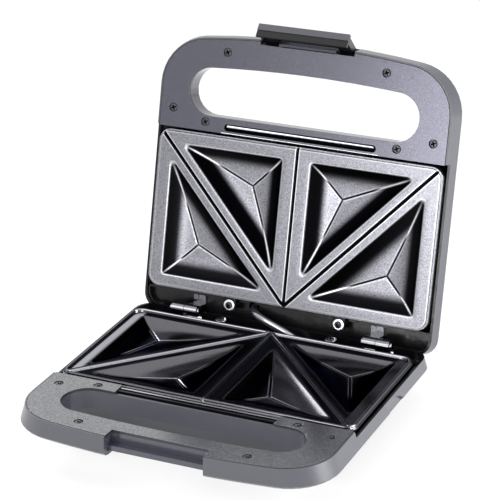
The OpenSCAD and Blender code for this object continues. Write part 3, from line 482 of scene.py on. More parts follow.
def pocket_rim(cell):
    """Triangle with corners of the rim's radius; each side runs from the middle of one corner's arc to the
    middle of the next, as an arc, a straight and an arc."""
    corners = pocket_corners(cell)
    centre, _ = triangle_centre(corners)
    counts, rounds, out = SIDE_COUNTS[cell], [], []
    for i in range(3):
        u, v = corners[i - 1] - corners[i], corners[(i + 1) % 3] - corners[i]
        u, v = u / np.linalg.norm(u), v / np.linalg.norm(v)
        half = math.acos(u @ v) / 2
        bisector = (u + v) / np.linalg.norm(u + v)
        rounds.append((corners[i] + bisector * RIM_RADIUS / math.sin(half), -bisector))
    for i in range(3):
        (c0, mid0), (c1, mid1) = rounds[i], rounds[(i + 1) % 3]
        edge = corners[(i + 1) % 3] - corners[i]
        normal = np.array([edge[1], -edge[0]]) / np.linalg.norm(edge)
        normal = normal * np.sign((corners[i] - centre) @ normal)
        a0, an, a1 = (math.atan2(v[1], v[0]) for v in (mid0, normal, mid1))
        turn0 = (an - a0 + math.pi) % (2 * math.pi) - math.pi
        turn1 = (a1 - an + math.pi) % (2 * math.pi) - math.pi
        out += [arc_points(c0, RIM_RADIUS, a0, a0 + turn0, RIM_POINTS),
                line_points(c0 + normal * RIM_RADIUS, c1 + normal * RIM_RADIUS, counts[i] - 2 * RIM_POINTS),
                arc_points(c1, RIM_RADIUS, an, an + turn1, RIM_POINTS)]
    return np.concatenate(out)


def pocket_fall(u):
    """Share of a pocket's depth at u of the way in: 0.2 u + 0.8 (1 - (1 - u)^3.4)."""
    u = np.clip(u, 0.0, 1.0)
    return 0.2 * u + 0.8 * (1 - (1 - u) ** 3.4)


def edge_distances(x, s):
    """Distances of points from the middle line, the diagonal and the plate's rounded outline."""
    diagonal = np.abs(s - DIAGONAL_S - DIAGONAL_LEAN * x) / DIAGONAL_STRETCH
    beyond = (x + DIAGONAL_LEAN * (s - DIAGONAL_S)) / DIAGONAL_STRETCH - DIAGONAL_END * DIAGONAL_STRETCH
    diagonal = np.hypot(diagonal, np.maximum(beyond, 0))
    middle_s = (PLATE_FRONT + PLATE_BACK) / 2
    qx = np.abs(x) - PLATE_HALF + PLATE_CORNER
    qs = np.abs(s - middle_s) - (PLATE_FRONT - PLATE_BACK) / 2 + PLATE_CORNER
    rounded = PLATE_CORNER - np.hypot(np.maximum(qx, 0), np.maximum(qs, 0))
    return np.abs(x), diagonal, rounded - np.minimum(np.maximum(qx, qs), 0)


def base_relief(x, s):
    """Raised sealing ridges: bands of the ridge's height, round at the edges, along the middle, the
    diagonals and the outline. Returns the height, the share of painted shade on the lands and along the
    crests of the middle and diagonal ridges, and the share of painted highlight along the ridges' sides."""
    middle, diagonal, outline = edge_distances(x, s)
    ends = smooth_step(1.0, 2.6, outline)
    line = np.minimum(middle, diagonal)
    band = (1 - smooth_step(0.85, 1.55, line)) * ends
    rim = 1 - smooth_step(0.85, 1.5, np.abs(outline - 2.25))
    lines = np.where(middle < diagonal, 0.12, 0.75) * np.exp(-((line - 1.15) / 0.3) ** 2) * ends
    bright = np.maximum(lines, 0.7 * np.exp(-((outline - 2.9) / 0.35) ** 2))
    inner = 1 - smooth_step(PLATE_HALF - 12.5, PLATE_HALF - 11.0, np.abs(x))
    dark = 0.72 * smooth_step(1.6, 2.4, line) * smooth_step(3.2, 3.8, outline) * inner
    return RIDGE_HEIGHT * np.maximum(band, rim), np.maximum(dark, 0.6 * (line < 0.7) * ends), bright


def lid_relief(x, s):
    """Grooves that take the lower plate's ridges, along the middle, the diagonals and the outline, painted
    dark inside as shade and with a painted highlight on the lip. Returns the height, the dark share and
    the bright share."""
    middle, diagonal, outline = edge_distances(x, s)
    line = np.minimum(middle - 1.1, diagonal - 1.25)
    groove = 1 - smooth_step(-0.25, 0.2, line)
    step = 1 - smooth_step(1.3, 1.7, outline)
    dark = 1 - smooth_step(-0.3, 0.05, line)
    bright = 0.7 * np.exp(-((line - 0.42) / 0.28) ** 2) + 0.5 * np.exp(-((outline - 1.95) / 0.3) ** 2)
    return -GROOVE_DEPTH * np.maximum(groove, step), dark, bright * (1 - dark)


def painted_land_highlight(points):
    """Share of painted highlight on the lower plate's left land: one between the rim's ridge and the pocket,
    none within a pocket's or a ridge's reach."""
    x, s, _ = points.T
    _, diagonal, outline = edge_distances(np.abs(x), s)
    across = smooth_step(3.8, 4.6, outline) * (1 - smooth_step(9.8, 11.2, outline))
    return 0.75 * across * smooth_step(2.0, 4.0, diagonal) * (x < -PLATE_HALF + 11.4)


# Each plate: how it is placed, depth of its land, its relief, the painted shade on its pockets' walls, how
# bright the painted highlight on the pockets' lips is, how far in the creases' painted highlight starts and
# how bright it is, and whether its left land has a painted highlight
PLATES = {
    "base": dict(place=in_base, land=2.2, relief=base_relief, shades=BASE_SHADES, lip_light=0.1,
                 crease_reach=0.55, crease_light=0.8, land_highlight=True),
    "lid": dict(place=in_lid, land=0.2, relief=lid_relief, shades=LID_SHADES, lip_light=0.3,
                crease_reach=0.07, crease_light=0.55, land_highlight=False),
}


def pocket_marks(points, u, corners, centre, plate):
    """Creases from the pocket's centre to its corners: a cut line painted dark as shade, with a painted
    highlight beside it near the centre, which turns to a painted highlight along the crease towards the
    corners. Returns the cut's depth, dark and bright shares."""
    dark, bright = np.zeros(len(points)), np.zeros(len(points))
    away = points - centre
    cut_share = smooth_step(0.42, 0.56, u)
    reach = plate["crease_reach"]
    for corner in corners:
        ray = (corner - centre) / np.linalg.norm(corner - centre)
        off = np.where(away @ ray > -0.4, np.abs(away[:, 0] * ray[1] - away[:, 1] * ray[0]), 99.0)
        dark = np.maximum(dark, np.exp(-(off / 0.62) ** 4) * cut_share)
        bright = np.maximum(bright, 0.65 * np.exp(-((off - 1.15) / 0.32) ** 2) * cut_share)
        far = np.exp(-(off / 0.5) ** 2) * (1 - cut_share)
        bright = np.maximum(bright, far * smooth_step(reach - 0.1, reach + 0.1, u))
    return CREASE_DEPTH * dark, dark, plate["crease_light"] * bright * (1 - dark)


def plate_cell(cell, plate):
    """Top of a cell as rings of points: along the cell's edges, over the land, round the pocket's rim and
    down to its middle. Depth is land - relief outside the pocket; inside it grows by the fall of the share
    of the way in. The tone holds each point's painted shade and painted highlight."""
    land = plate["land"]
    corners = pocket_corners(cell)
    centre, radius = triangle_centre(corners)
    rim = pocket_rim(cell) - centre
    depths_in = np.concatenate([RIM_RINGS, radius * np.array(BOWL_RINGS)])
    lines = [cell_line(cell, outer, inner) for outer, inner in EDGE_LINES]
    outside = centre + rim * (1 - RIM_RINGS[0] / radius)
    lands = [lines[-1] * (1 - t) + outside * t for t in (0.25, 0.5, 0.75)]
    rings = np.stack(lines + lands + [centre + rim * (1 - q / radius) for q in depths_in])
    x, s = rings[..., 0], rings[..., 1]
    far_out = np.full(len(lines) + len(lands), -9.0)
    inside = np.concatenate([far_out, depths_in])[:, None] * np.ones_like(x)
    eased = (inside + np.sqrt(inside ** 2 + 0.36)) / 2
    share = np.clip(eased / radius, 0, 1) * (inside > -2)
    height, dark, bright = plate["relief"](x, s)
    marks = pocket_marks(rings.reshape(-1, 2), (inside / radius).reshape(-1), corners, centre, plate)
    cut, mark_dark, mark_bright = (values.reshape(x.shape) for values in marks)
    depth = land - height + (POCKET_DEPTH - land) * pocket_fall(share) + cut
    # Painted shade on the pockets' walls, from the rim down to where each side's share fades
    sides = np.repeat(np.arange(3), SIDE_COUNTS[cell])
    wall_start, wall_end, wall_dark = np.array(plate["shades"][cell]).T[:, sides]
    way_in = smooth_step(wall_start, wall_end, inside / radius)
    wall = wall_dark * smooth_step(0.1, 0.7, inside) * (1 - way_in)
    # Painted highlight along each pocket's lip
    lip = plate["lip_light"] * np.exp(-((inside + 0.35) / 0.3) ** 2)
    dark = np.where(inside > 0.1, 0.0, dark)
    dark = np.maximum.reduce([dark, wall * (1 - mark_bright), mark_dark])
    bright = np.maximum.reduce([bright, mark_bright, lip])
    return np.stack([x, s, depth], -1), np.stack([dark, bright], -1)


def plate_back(cell, land):
    """Underside of a cell, a plate's thickness below its top: a line inside the skirt, the land, and the
    pocket's bowl."""
    centre, radius = triangle_centre(pocket_corners(cell))
    rim = pocket_rim(cell) - centre
    shares = np.array(UNDER_RINGS)
    rings = np.stack([cell_line(cell, SKIRT_WALL, 0.0)] + [
        centre + rim * (1 + 1.6 / radius) * (1 - u) for u in shares])
    depth = land + PLATE_WALL + np.concatenate([[0.0], (POCKET_DEPTH - land) * pocket_fall(shares)])
    return np.concatenate([rings, np.broadcast_to(depth[:, None, None], rings.shape[:2] + (1,))], -1)


def plate_skirt(cell, land, relief):
    """Edge of a cell: rounded top, wall down to the skirt's foot, and back up inside."""
    first, second, _ = SIDE_COUNTS[cell]
    columns = slice(first, first + second + 1) if cell == "inner" else slice(0, first + second)
    foot = SKIRT_DEPTH - land
    rows = ((0.4, 0.0), (0.15, 0.1), (0.03, 0.3), (0.0, 0.6), (0.0, foot - 0.3), (0.2, foot),
            (SKIRT_WALL - 0.2, foot), (SKIRT_WALL, foot - 0.2), (SKIRT_WALL, PLATE_WALL))
    edge_height = relief(np.zeros(1), np.array([PLATE_BACK + 0.2]))[0]
    out = []
    for row, (inset, drop) in enumerate(rows):
        line = cell_line(cell, inset, 0.0)[columns]
        height = relief(*line.T)[0] if row == 0 else edge_height * (drop < 1)
        out.append(np.concatenate([line, (land + drop - height + np.zeros(len(line)))[:, None]], -1))
    return np.stack(out)


def cooking_plate(half, material):
    """Plate of four cells, two of them mirrored, with its skirt, underside and screw tabs."""
    plate = PLATES[half]
    parts = []
    for cell in ("inner", "outer"):
        top, shares = plate_cell(cell, plate)
        under, skirt = plate_back(cell, plate["land"]), plate_skirt(cell, plate["land"], plate["relief"])
        for grid, closed in ((top, True), (under, True), (skirt, False)):
            faces = grid_faces(*grid.shape[:2], close_columns=closed)
            for mirror in (1, -1):
                points = (grid * (mirror, 1, 1)).reshape(-1, 3)
                tone = shares.reshape(-1, 2) if grid is top else np.zeros((len(points), 2))
                # The lower plate's left land gets a painted highlight, which lifts the bright share and eases the
                # dark
                if plate["land_highlight"] and grid is top:
                    land_highlight = painted_land_highlight(points)
                    tone = np.stack([tone[:, 0] * (1 - land_highlight), np.maximum(tone[:, 1], land_highlight)], -1)
                parts.append((points, faces, tone))
    # The tabs lie in shade behind the plate and are painted dark as that shade
    for side in (-1, 1):
        points, faces = slab(side * TAB_X - TAB_HALF, side * TAB_X + TAB_HALF, TAB_BACK, PLATE_BACK + 1,
                             TAB_TOP, TAB_FOOT, TAB_CORNER, TAB_EDGE)
        parts.append((points, faces, np.tile([TAB_DARK, 0.0], (len(points), 1))))
    gathered(half + "_cooking_plate", parts, plate["place"], material, half + "_plate", smooth=40,
             merge=PLATE_MERGE)


# ---- Materials ----
def add_node(tree, kind, values=None, links=None, **settings):
    """Adds one node, sets its properties and socket values, and links sockets to it, named or numbered."""
    node = tree.nodes.new(kind)
    for name, value in settings.items():
        setattr(node, name, value)
    for name, value in (values or {}).items():
        node.inputs[name].default_value = value
    for name, source in (links or {}).items():
        tree.links.new(source, node.inputs[name])
    return node


PATCHES_PER_METRE = 14.0                      # patches of handling and wear, about 70 mm across


def surface_finish(name, colour, roughness, metallic=0.0, grain=0.4, grain_depth=0.01, speckle=0.06,
                   rough_spread=0.06, coat=0.0, coat_roughness=0.1, ior=1.5, specular=0.5, dark=None,
                   bright=None, **sockets):
    """Principled finish of a linear colour: noise of the grain's size in millimetres varies the colour and
    the height of the surface, and wide patches its roughness. Dark and bright colours follow the piece's
    tone attribute, which holds painted shade and painted highlights, and the washers' own pale zinc.
    Further sockets are given by name, with underscores for spaces."""
    material = bpy.data.materials.new(name)
    material.use_nodes = True
    tree = material.node_tree
    shader = tree.nodes["Principled BSDF"]
    shader.inputs["Metallic"].default_value = metallic
    shader.inputs["Coat Weight"].default_value = coat
    shader.inputs["Coat Roughness"].default_value = coat_roughness
    shader.inputs["Specular IOR Level"].default_value = specular
    if metallic < 0.5:
        shader.inputs["IOR"].default_value = ior
    for socket, value in sockets.items():
        shader.inputs[socket.replace("_", " ")].default_value = value
    place = add_node(tree, "ShaderNodeTexCoord")
    noise = add_node(tree, "ShaderNodeTexNoise", {"Scale": 1 / (grain * MM), "Detail": 3.0},
                     {"Vector": place.outputs["Object"]})
    patch = add_node(tree, "ShaderNodeTexNoise", {"Scale": PATCHES_PER_METRE, "Detail": 2.0},
                     {"Vector": place.outputs["Object"]})
    ramp = add_node(tree, "ShaderNodeValToRGB", links={"Fac": noise.outputs["Fac"]})
    for stop, position, share in zip(ramp.color_ramp.elements, (0.3, 0.7), (1 - speckle, 1 + speckle)):
        stop.position = position
        stop.color = (*np.clip(np.array(colour[:3]) * share, 0, 1), 1)
    colour_out = ramp.outputs["Color"]
    # The tone's red share mixes in the colour of painted shade, its green the colour of painted highlight or of
    # the washers' zinc
    if dark:
        tone = add_node(tree, "ShaderNodeAttribute", attribute_name="tone")
        shares = add_node(tree, "ShaderNodeSeparateColor", links={"Color": tone.outputs["Color"]})
        for share, tint in (("Red", dark), ("Green", bright)):
            # Sockets of a colour mix: 0 its factor, 6 and 7 the two colours, and 2 what comes out
            mix = add_node(tree, "ShaderNodeMix", {7: linear(tint)},
                           {0: shares.outputs[share], 6: colour_out}, data_type="RGBA")
            colour_out = mix.outputs[2]
    tree.links.new(colour_out, shader.inputs["Base Color"])
    rough = add_node(tree, "ShaderNodeMapRange",
                     {"To Min": roughness - rough_spread, "To Max": roughness + rough_spread},
                     {"Value": patch.outputs["Fac"]})
    tree.links.new(rough.outputs["Result"], shader.inputs["Roughness"])
    bump = add_node(tree, "ShaderNodeBump", {"Strength": 1.0, "Distance": grain_depth * MM},
                    {"Height": noise.outputs["Fac"]})
    tree.links.new(bump.outputs["Normal"], shader.inputs["Normal"])
    return material


# Grain is the size in millimetres of what breaks up a surface. The grain of a mould, a lacquer or a spray is
# finer than 0.2 mm and would not show, so it is drawn at 0.3 to 1 mm; above that it is the slow wave of a
# polished surface.
FINISH_TABLE = {
    # ABS from a spark-eroded mould: a satin sheen that blurs reflections
    "shell": dict(
        name="Moulded ABS, slate grey", colour="#393a41", roughness=0.36, grain=0.5, grain_depth=0.012,
        coat=0.4, coat_roughness=0.22),
    # Polypropylene from a polished mould: deep gloss, slightly wavy walls
    "inside": dict(
        name="Glossy black polypropylene", colour="#0c0c0e", roughness=0.2, grain=9.0, grain_depth=0.25,
        speckle=0.02, specular=0.35),
    # The shell's ABS where the mould was polished: wet-looking walls with sharp light and dark
    "grip": dict(
        name="Moulded ABS, polished", colour="#383943", roughness=0.2, metallic=0.2, grain=6.0,
        grain_depth=0.03, speckle=0.03, coat=0.4, coat_roughness=0.08),
    # Rib moulded with the shell, lacquered silver and set brighter than the cover so that its top shows as a
    # thin bright line: a painted highlight
    "rail": dict(
        name="Silver-grey lacquered ribs", colour="#c0c0c8", roughness=0.22, metallic=1.0, grain=0.4),
    # Thin edge of a moulded cover, painted dark as the shadow in the gap round the cover: a dark line that
    # outlines the cover
    "cover_edge": dict(
        name="Bare edge of the cover", colour="#1a1a1e", roughness=0.3, grain=0.4),
    # Lacquer with aluminium flake: silver; its tone paints the slot's back black as shade and the bead and the
    # bar bright as highlights
    "strip": dict(
        name="Silver-grey lacquered strip", colour="#80808a", roughness=0.2, metallic=1.0, grain=0.4,
        speckle=0.05, dark="#050507", bright="#f0f0f8"),
    # Steel blackened and barrel finished: a dark mirror with bright streaks
    "knuckle": dict(
        name="Blackened steel, polished", colour="#77777c", roughness=0.12, metallic=1.0, grain=2.0,
        grain_depth=0.02, speckle=0.05),
    # Cold-headed steel, blackened, over a plain zinc washer: a dark head in a bright ring, with painted shade in
    # its socket
    "zinc_head": dict(
        name="Steel screw, blackened, with a bright washer", colour="#3a3a3e", roughness=0.2,
        metallic=1.0, grain=0.3, dark="#08080a", bright="#ececf0"),
    # Silver lacquer sprayed on ABS: aluminium flake under a clear coat, seen as a fine glitter; set darker than
    # the same lacquer on the lower cover, as painted shade
    "lid_cover": dict(
        name="Silver-grey lacquered ABS, upper", colour="#5e5e67", roughness=0.27, metallic=1.0,
        grain=0.7, grain_depth=0.02, speckle=0.22, rough_spread=0.03),
    # The same lacquer on the lower cover, coarser flake: glitter with dark between; set lighter than on the
    # upper cover, as painted light
    "base_cover": dict(
        name="Silver-grey lacquered ABS, lower", colour="#8e8f92", roughness=0.18, metallic=1.0,
        grain=0.9, grain_depth=0.03, speckle=0.4, rough_spread=0.03),
    # PTFE sprayed and baked on die-cast aluminium: graphite with a fine mineral sparkle. Its tone paints shade on
    # the pockets' walls, in the grooves and along the creases, and highlights on the lips and creases
    "lid_coating": dict(
        name="PTFE non-stick coating, graphite", colour="#7d7d83", roughness=0.34, metallic=1.0,
        grain=0.9, grain_depth=0.06, speckle=0.42, dark="#040406", bright="#f2f2f6",
        Specular_Tint=linear("#a0a0a0")),
    # The same coating, set darker than on the lid as painted shade, and smoother: long sharp reflections, with
    # painted highlights that pick out the ridges. Its tone also paints the lands, the walls and the ridges'
    # crests dark as shade
    "base_coating": dict(
        name="PTFE non-stick coating, black", colour="#5a5a5d", roughness=0.16, metallic=1.0, grain=0.5,
        grain_depth=0.012, speckle=0.18, dark="#08080a", bright="#d0d0d8",
        Specular_Tint=linear("#a0a0a4")),
    # Steel dipped in phosphate: dull dark grey, with painted shade in the socket
    "phosphated": dict(
        name="Phosphated steel, cross recessed", colour="#4c4c50", roughness=0.36, metallic=1.0,
        grain=0.3, dark="#050506", bright="#ffffff"),
    # Steel plated with bright zinc: a pale, slightly uneven mirror
    "zinc": dict(
        name="Zinc-plated steel", colour="#c9c9cd", roughness=0.24, metallic=1.0, grain=0.3),
    # Pressed sheet with a hot-dipped skin: pale metal with soft patches
    "aluminised": dict(
        name="Aluminised sheet steel", colour="#b9b9bc", roughness=0.3, metallic=1.0, grain=0.8),
    # Drawn tube darkened by its own heat: dull warm grey
    "sheath": dict(
        name="Heat-darkened steel sheath", colour="#6c6760", roughness=0.45, metallic=1.0, grain=0.6),
    # Moulded rubber: matt black that hides its form
    "rubber": dict(
        name="Moulded EPDM rubber", colour="#1d1d1f", roughness=0.7, grain=0.6, grain_depth=0.02),
    # Moulded nylon: near-black with a soft sheen
    "nylon": dict(
        name="Moulded black nylon", colour="#1b1b1e", roughness=0.42, grain=0.4),
    # Woven glass sleeve dipped in silicone: wet gloss with one long highlight
    "silicone": dict(
        name="Silicone-coated glass-fibre sleeve", colour="#a2a2aa", roughness=0.12, grain=0.5,
        metallic=0.9, coat=0.6),
    # Pressed and glazed ceramic: cream under a clear gloss
    "steatite": dict(
        name="Glazed steatite", colour="#e2dccd", roughness=0.2, grain=0.8, coat=0.5),
    # Pressed glass cloth and epoxy under green lacquer: flat and shiny
    "board": dict(
        name="Lacquered glass-epoxy board", colour="#2b5a37", roughness=0.3, grain=0.8, coat=0.5),
    # Polycarbonate moulded in a polished tool: clear tinted gloss
    "red_lens": dict(
        name="Red polycarbonate", colour="#c4201a", roughness=0.1, grain=2.0, grain_depth=0.001,
        ior=1.585, coat=0.5, Transmission_Weight=0.45),
    "green_lens": dict(
        name="Green polycarbonate", colour="#1f8c3c", roughness=0.1, grain=2.0, grain_depth=0.001,
        ior=1.585, coat=0.5, Transmission_Weight=0.45),
}
# Finish of each material slot, for solids that show as they are, and the nodes that have another
SLOT_FINISH = {
    "housing": "shell", "handle_cover": "lid_cover", "non_stick": "base_coating",
    "black_screw": "phosphated", "sheath_steel": "sheath", "sheet_steel": "aluminised",
    "black_plastic": "nylon", "black_rubber": "rubber", "ceramic": "steatite", "sleeve": "silicone",
    "board": "board", "red_lens": "red_lens", "green_lens": "green_lens", "bright_steel": "zinc"}
NODE_FINISH = {"lid_plate": "lid_coating", "lid_bracket_screws": "knuckle", "base_lug_screws": "knuckle"}
FINISHES = {}


def finish_named(key):
    """The finish with this key, made when first asked for, in the user's colour where there is one."""
    if key not in FINISHES:
        colour = linear(FINISH_TABLE[key]["colour"])
        if key in ToasterColours.__annotations__:
            colour = tuple(getattr(bpy.context.scene.toaster_colours, key))
        FINISHES[key] = surface_finish(**{**FINISH_TABLE[key], "colour": colour})
    return FINISHES[key]


# ---- What a user may change ----
COLOUR = dict(subtype="COLOR", size=4, min=0.0, max=1.0)
LENGTH = dict(unit="LENGTH", min=0.0, precision=5)
POWER = dict(unit="POWER", min=0.0)


class ToasterColours(bpy.types.PropertyGroup):
    """Base colours of the finishes that show most, each named like its finish"""

    shell: bpy.props.FloatVectorProperty(
        name="Shells", description="Colour of the shells and of the latch's finger bar",
        default=linear(FINISH_TABLE["shell"]["colour"]), **COLOUR)
    lid_cover: bpy.props.FloatVectorProperty(
        name="Upper cover", description="Lacquer on the lid's handle cover",
        default=linear(FINISH_TABLE["lid_cover"]["colour"]), **COLOUR)
    base_cover: bpy.props.FloatVectorProperty(
        name="Lower cover", description="Lacquer on the base's handle cover",
        default=linear(FINISH_TABLE["base_cover"]["colour"]), **COLOUR)
    lid_coating: bpy.props.FloatVectorProperty(
        name="Upper plate", description="Non-stick coating of the lid's plate",
        default=linear(FINISH_TABLE["lid_coating"]["colour"]), **COLOUR)
    base_coating: bpy.props.FloatVectorProperty(
        name="Lower plate", description="Non-stick coating of the base's plate",
        default=linear(FINISH_TABLE["base_coating"]["colour"]), **COLOUR)


class ToasterSizes(bpy.types.PropertyGroup):
    """Sizes of edges and small pieces"""

    shell_edge: bpy.props.FloatProperty(
        name="Shell edges", description="Radius of the shells' edges", default=0.35 * MM, **LENGTH)
    cover_edge: bpy.props.FloatProperty(
        name="Cover edges", description="Radius of the covers' and the latch's edges", default=0.3 * MM,
        **LENGTH)
    screw_head: bpy.props.FloatProperty(
        name="Cover screws", description="Radius of the cover screws' heads", default=2.9 * MM, **LENGTH)
    sleeve: bpy.props.FloatProperty(
        name="Sleeve", description="Radius of the wiring sleeve", default=2.7 * MM, **LENGTH)


class ToasterLights(bpy.types.PropertyGroup):
    """Light levels of the stage, the lamps' each named like its lamp"""

    ambient: bpy.props.FloatProperty(
        name="Ambient", description="Strength of the world's soft light", default=0.55, min=0.0, max=2.0)
    key: bpy.props.FloatProperty(
        name="Key lamp", description="Power of the lamp at the front left", default=14.0, **POWER)
    side: bpy.props.FloatProperty(
        name="Side lamp", description="Power of the lamp on the right", default=40.0, **POWER)
    top: bpy.props.FloatProperty(
        name="Top lamp", description="Power of the lamp overhead", default=16.0, **POWER)
    strip: bpy.props.FloatProperty(
        name="Strip lamp", description="Power of the small lamp behind the left side", default=9.0, **POWER)
    front: bpy.props.FloatProperty(
        name="Front lamp", description="Power of the small lamp before the lid", default=2.6, **POWER)


GROUPS = {"toaster_colours": ToasterColours, "toaster_sizes": ToasterSizes, "toaster_lights": ToasterLights}


# ---- Camera, floor and lights ----
CAMERA_PLACE = (0.5896, -1.26781, 0.72487)    # metres
CAMERA_TURN = (24.90, 23.18, -0.82)           # azimuth, elevation and roll in degrees
CAMERA_LENS, CAMERA_SENSOR = 157.46, 36.0     # millimetres
FLOOR_HALF = 3.0                              # metres
# How much of the floor is its own white glow, as metres from the middle and a share: less near the toaster,
# so that the shadow shows
GLOW_NEAR, GLOW_FAR = (0.3, 0.6), (1.2, 1.0)
# Lamps: place, aim, width and height in metres
LAMPS = {
    "key": ((-0.9, -1.1, 1.3), (0, 0, 0.1), 1.2, 0.9),
    "side": ((1.5, 0.1, 0.5), (0, 0, 0.12), 0.8, 0.8),
    "top": ((0.0, 0.3, 2.0), (0, 0, 0.1), 3.2, 2.8),
    "strip": ((-1.15, 0.75, 0.75), (0.04, 0.0, 0.03), 0.5, 0.3),
    "front": ((0.0, -0.72, 0.25), (0.05, 0.17, 0.2), 0.4, 0.35),
}


def camera_matrix():
    """Rotation from azimuth, elevation and roll in degrees, and the camera's place in metres."""
    azimuth, elevation, roll = np.radians(CAMERA_TURN)
    back = np.array([math.sin(azimuth) * math.cos(elevation), -math.cos(azimuth) * math.cos(elevation),
                     math.sin(elevation)])
    right = np.array([math.cos(azimuth), math.sin(azimuth), 0.0])
    up = np.cross(back, right)
    turn = np.eye(4)
    turn[:3, 0] = math.cos(roll) * right + math.sin(roll) * up
    turn[:3, 1] = math.cos(roll) * up - math.sin(roll) * right
    turn[:3, 2] = back
    turn[:3, 3] = CAMERA_PLACE
    return Matrix(turn.tolist())


def add_camera(scene):
    """Camera of the scene, at its place and angle."""
    data = bpy.data.cameras.new("Camera")
    data.lens, data.sensor_width, data.clip_end = CAMERA_LENS, CAMERA_SENSOR, 20.0
    camera = bpy.data.objects.new("Camera", data)
    camera.matrix_world = camera_matrix()
    scene.collection.objects.link(camera)
    scene.camera = camera


def add_world(scene, ambient):
    """Soft grey light from all round, shown white to the camera and to glossy surfaces."""
    world = bpy.data.worlds.new("Studio")
    scene.world = world
    world.use_nodes = True
    tree = world.node_tree
    tree.nodes.clear()
    path = add_node(tree, "ShaderNodeLightPath")
    soft = add_node(tree, "ShaderNodeBackground", {"Color": linear("#ffffff"), "Strength": ambient})
    white = add_node(tree, "ShaderNodeBackground", {"Color": linear("#ffffff"), "Strength": 1.0})
    seen = add_node(tree, "ShaderNodeMath", operation="MAXIMUM",
                    links={0: path.outputs["Is Camera Ray"], 1: path.outputs["Is Glossy Ray"]})
    mix = add_node(tree, "ShaderNodeMixShader", links={
        "Fac": seen.outputs["Value"], 1: soft.outputs["Background"], 2: white.outputs["Background"]})
    add_node(tree, "ShaderNodeOutputWorld", links={"Surface": mix.outputs["Shader"]})


def add_floor(scene):
    """Wide sheet of white paper, which glows for the camera alone and more so away from the toaster."""
    corners = [(-FLOOR_HALF, -FLOOR_HALF, 0), (FLOOR_HALF, -FLOOR_HALF, 0), (FLOOR_HALF, FLOOR_HALF, 0),
               (-FLOOR_HALF, FLOOR_HALF, 0)]
    mesh = bpy.data.meshes.new("floor")
    mesh.from_pydata(corners, [], [(0, 1, 2, 3)])
    floor = bpy.data.objects.new("floor", mesh)
    scene.collection.objects.link(floor)
    paper = bpy.data.materials.new("White paper")
    paper.use_nodes = True
    tree = paper.node_tree
    shader = tree.nodes["Principled BSDF"]
    shader.inputs["Roughness"].default_value = 0.9
    shader.inputs["Base Color"].default_value = linear("#f4f4f4")
    path = add_node(tree, "ShaderNodeLightPath")
    glow = add_node(tree, "ShaderNodeEmission", {"Color": linear("#ffffff"), "Strength": 1.0})
    place = add_node(tree, "ShaderNodeTexCoord")
    reach = add_node(tree, "ShaderNodeVectorMath", links={0: place.outputs["Object"]}, operation="LENGTH")
    spread = add_node(tree, "ShaderNodeMapRange",
                      {"From Min": GLOW_NEAR[0], "From Max": GLOW_FAR[0], "To Min": GLOW_NEAR[1],
                       "To Max": GLOW_FAR[1]}, {"Value": reach.outputs["Value"]})
    fade = add_node(tree, "ShaderNodeMath", operation="MULTIPLY",
                    links={0: path.outputs["Is Camera Ray"], 1: spread.outputs["Result"]})
    mix = add_node(tree, "ShaderNodeMixShader", links={
        "Fac": fade.outputs["Value"], 1: shader.outputs["BSDF"], 2: glow.outputs["Emission"]})
    tree.links.new(mix.outputs["Shader"], tree.nodes["Material Output"].inputs["Surface"])
    mesh.materials.append(paper)


def add_lamp(scene, name, power):
    """Soft rectangular lamp at its place, turned to its aim and not seen by the camera."""
    place, aim, width, height = LAMPS[name]
    lamp = bpy.data.lights.new(name, "AREA")
    lamp.shape = "RECTANGLE"
    lamp.size, lamp.size_y, lamp.energy = width, height, power
    holder = bpy.data.objects.new(name, lamp)
    turn = (Vector(place) - Vector(aim)).to_track_quat("Z", "Y")
    holder.matrix_world = Matrix.Translation(place) @ turn.to_matrix().to_4x4()
    holder.visible_camera = False
    scene.collection.objects.link(holder)


# ---- Operators ----
# Small pieces that are dressed too: node, finish and radius of the edges
SMALL_PIECES = (("base_hinge_lugs", "knuckle", 0.35), ("lid_hinge_brackets", "knuckle", 0.35),
                ("hinge_pins", "knuckle", 0.3), ("rubber_feet", "rubber", 0.4),
                ("cord_gland", "rubber", 0.25))


class TOASTER_OT_stage(bpy.types.Operator):
    """Pale floor, soft studio light and the camera"""

    bl_idname = "toaster.stage"
    bl_label = "Stage"

    def execute(self, context):
        scene = context.scene
        scene.view_settings.view_transform = "Standard"
        add_camera(scene)
        add_world(scene, scene.toaster_lights.ambient)
        add_floor(scene)
        for name in LAMPS:
            add_lamp(scene, name, getattr(scene.toaster_lights, name))
        return {"FINISHED"}


class TOASTER_OT_finishes(bpy.types.Operator):
    """Finishes of the solids that show as they are"""

    bl_idname = "toaster.finishes"
    bl_label = "Finishes"

    def execute(self, context):
        for name, node in frame["nodes"].items():
            finish = finish_named(NODE_FINISH.get(name, SLOT_FINISH[SLOT_OF[name]]))
            if node.data.materials:
                for slot in node.material_slots:
                    slot.material = finish
            else:
                node.data.materials.append(finish)
        return {"FINISHED"}


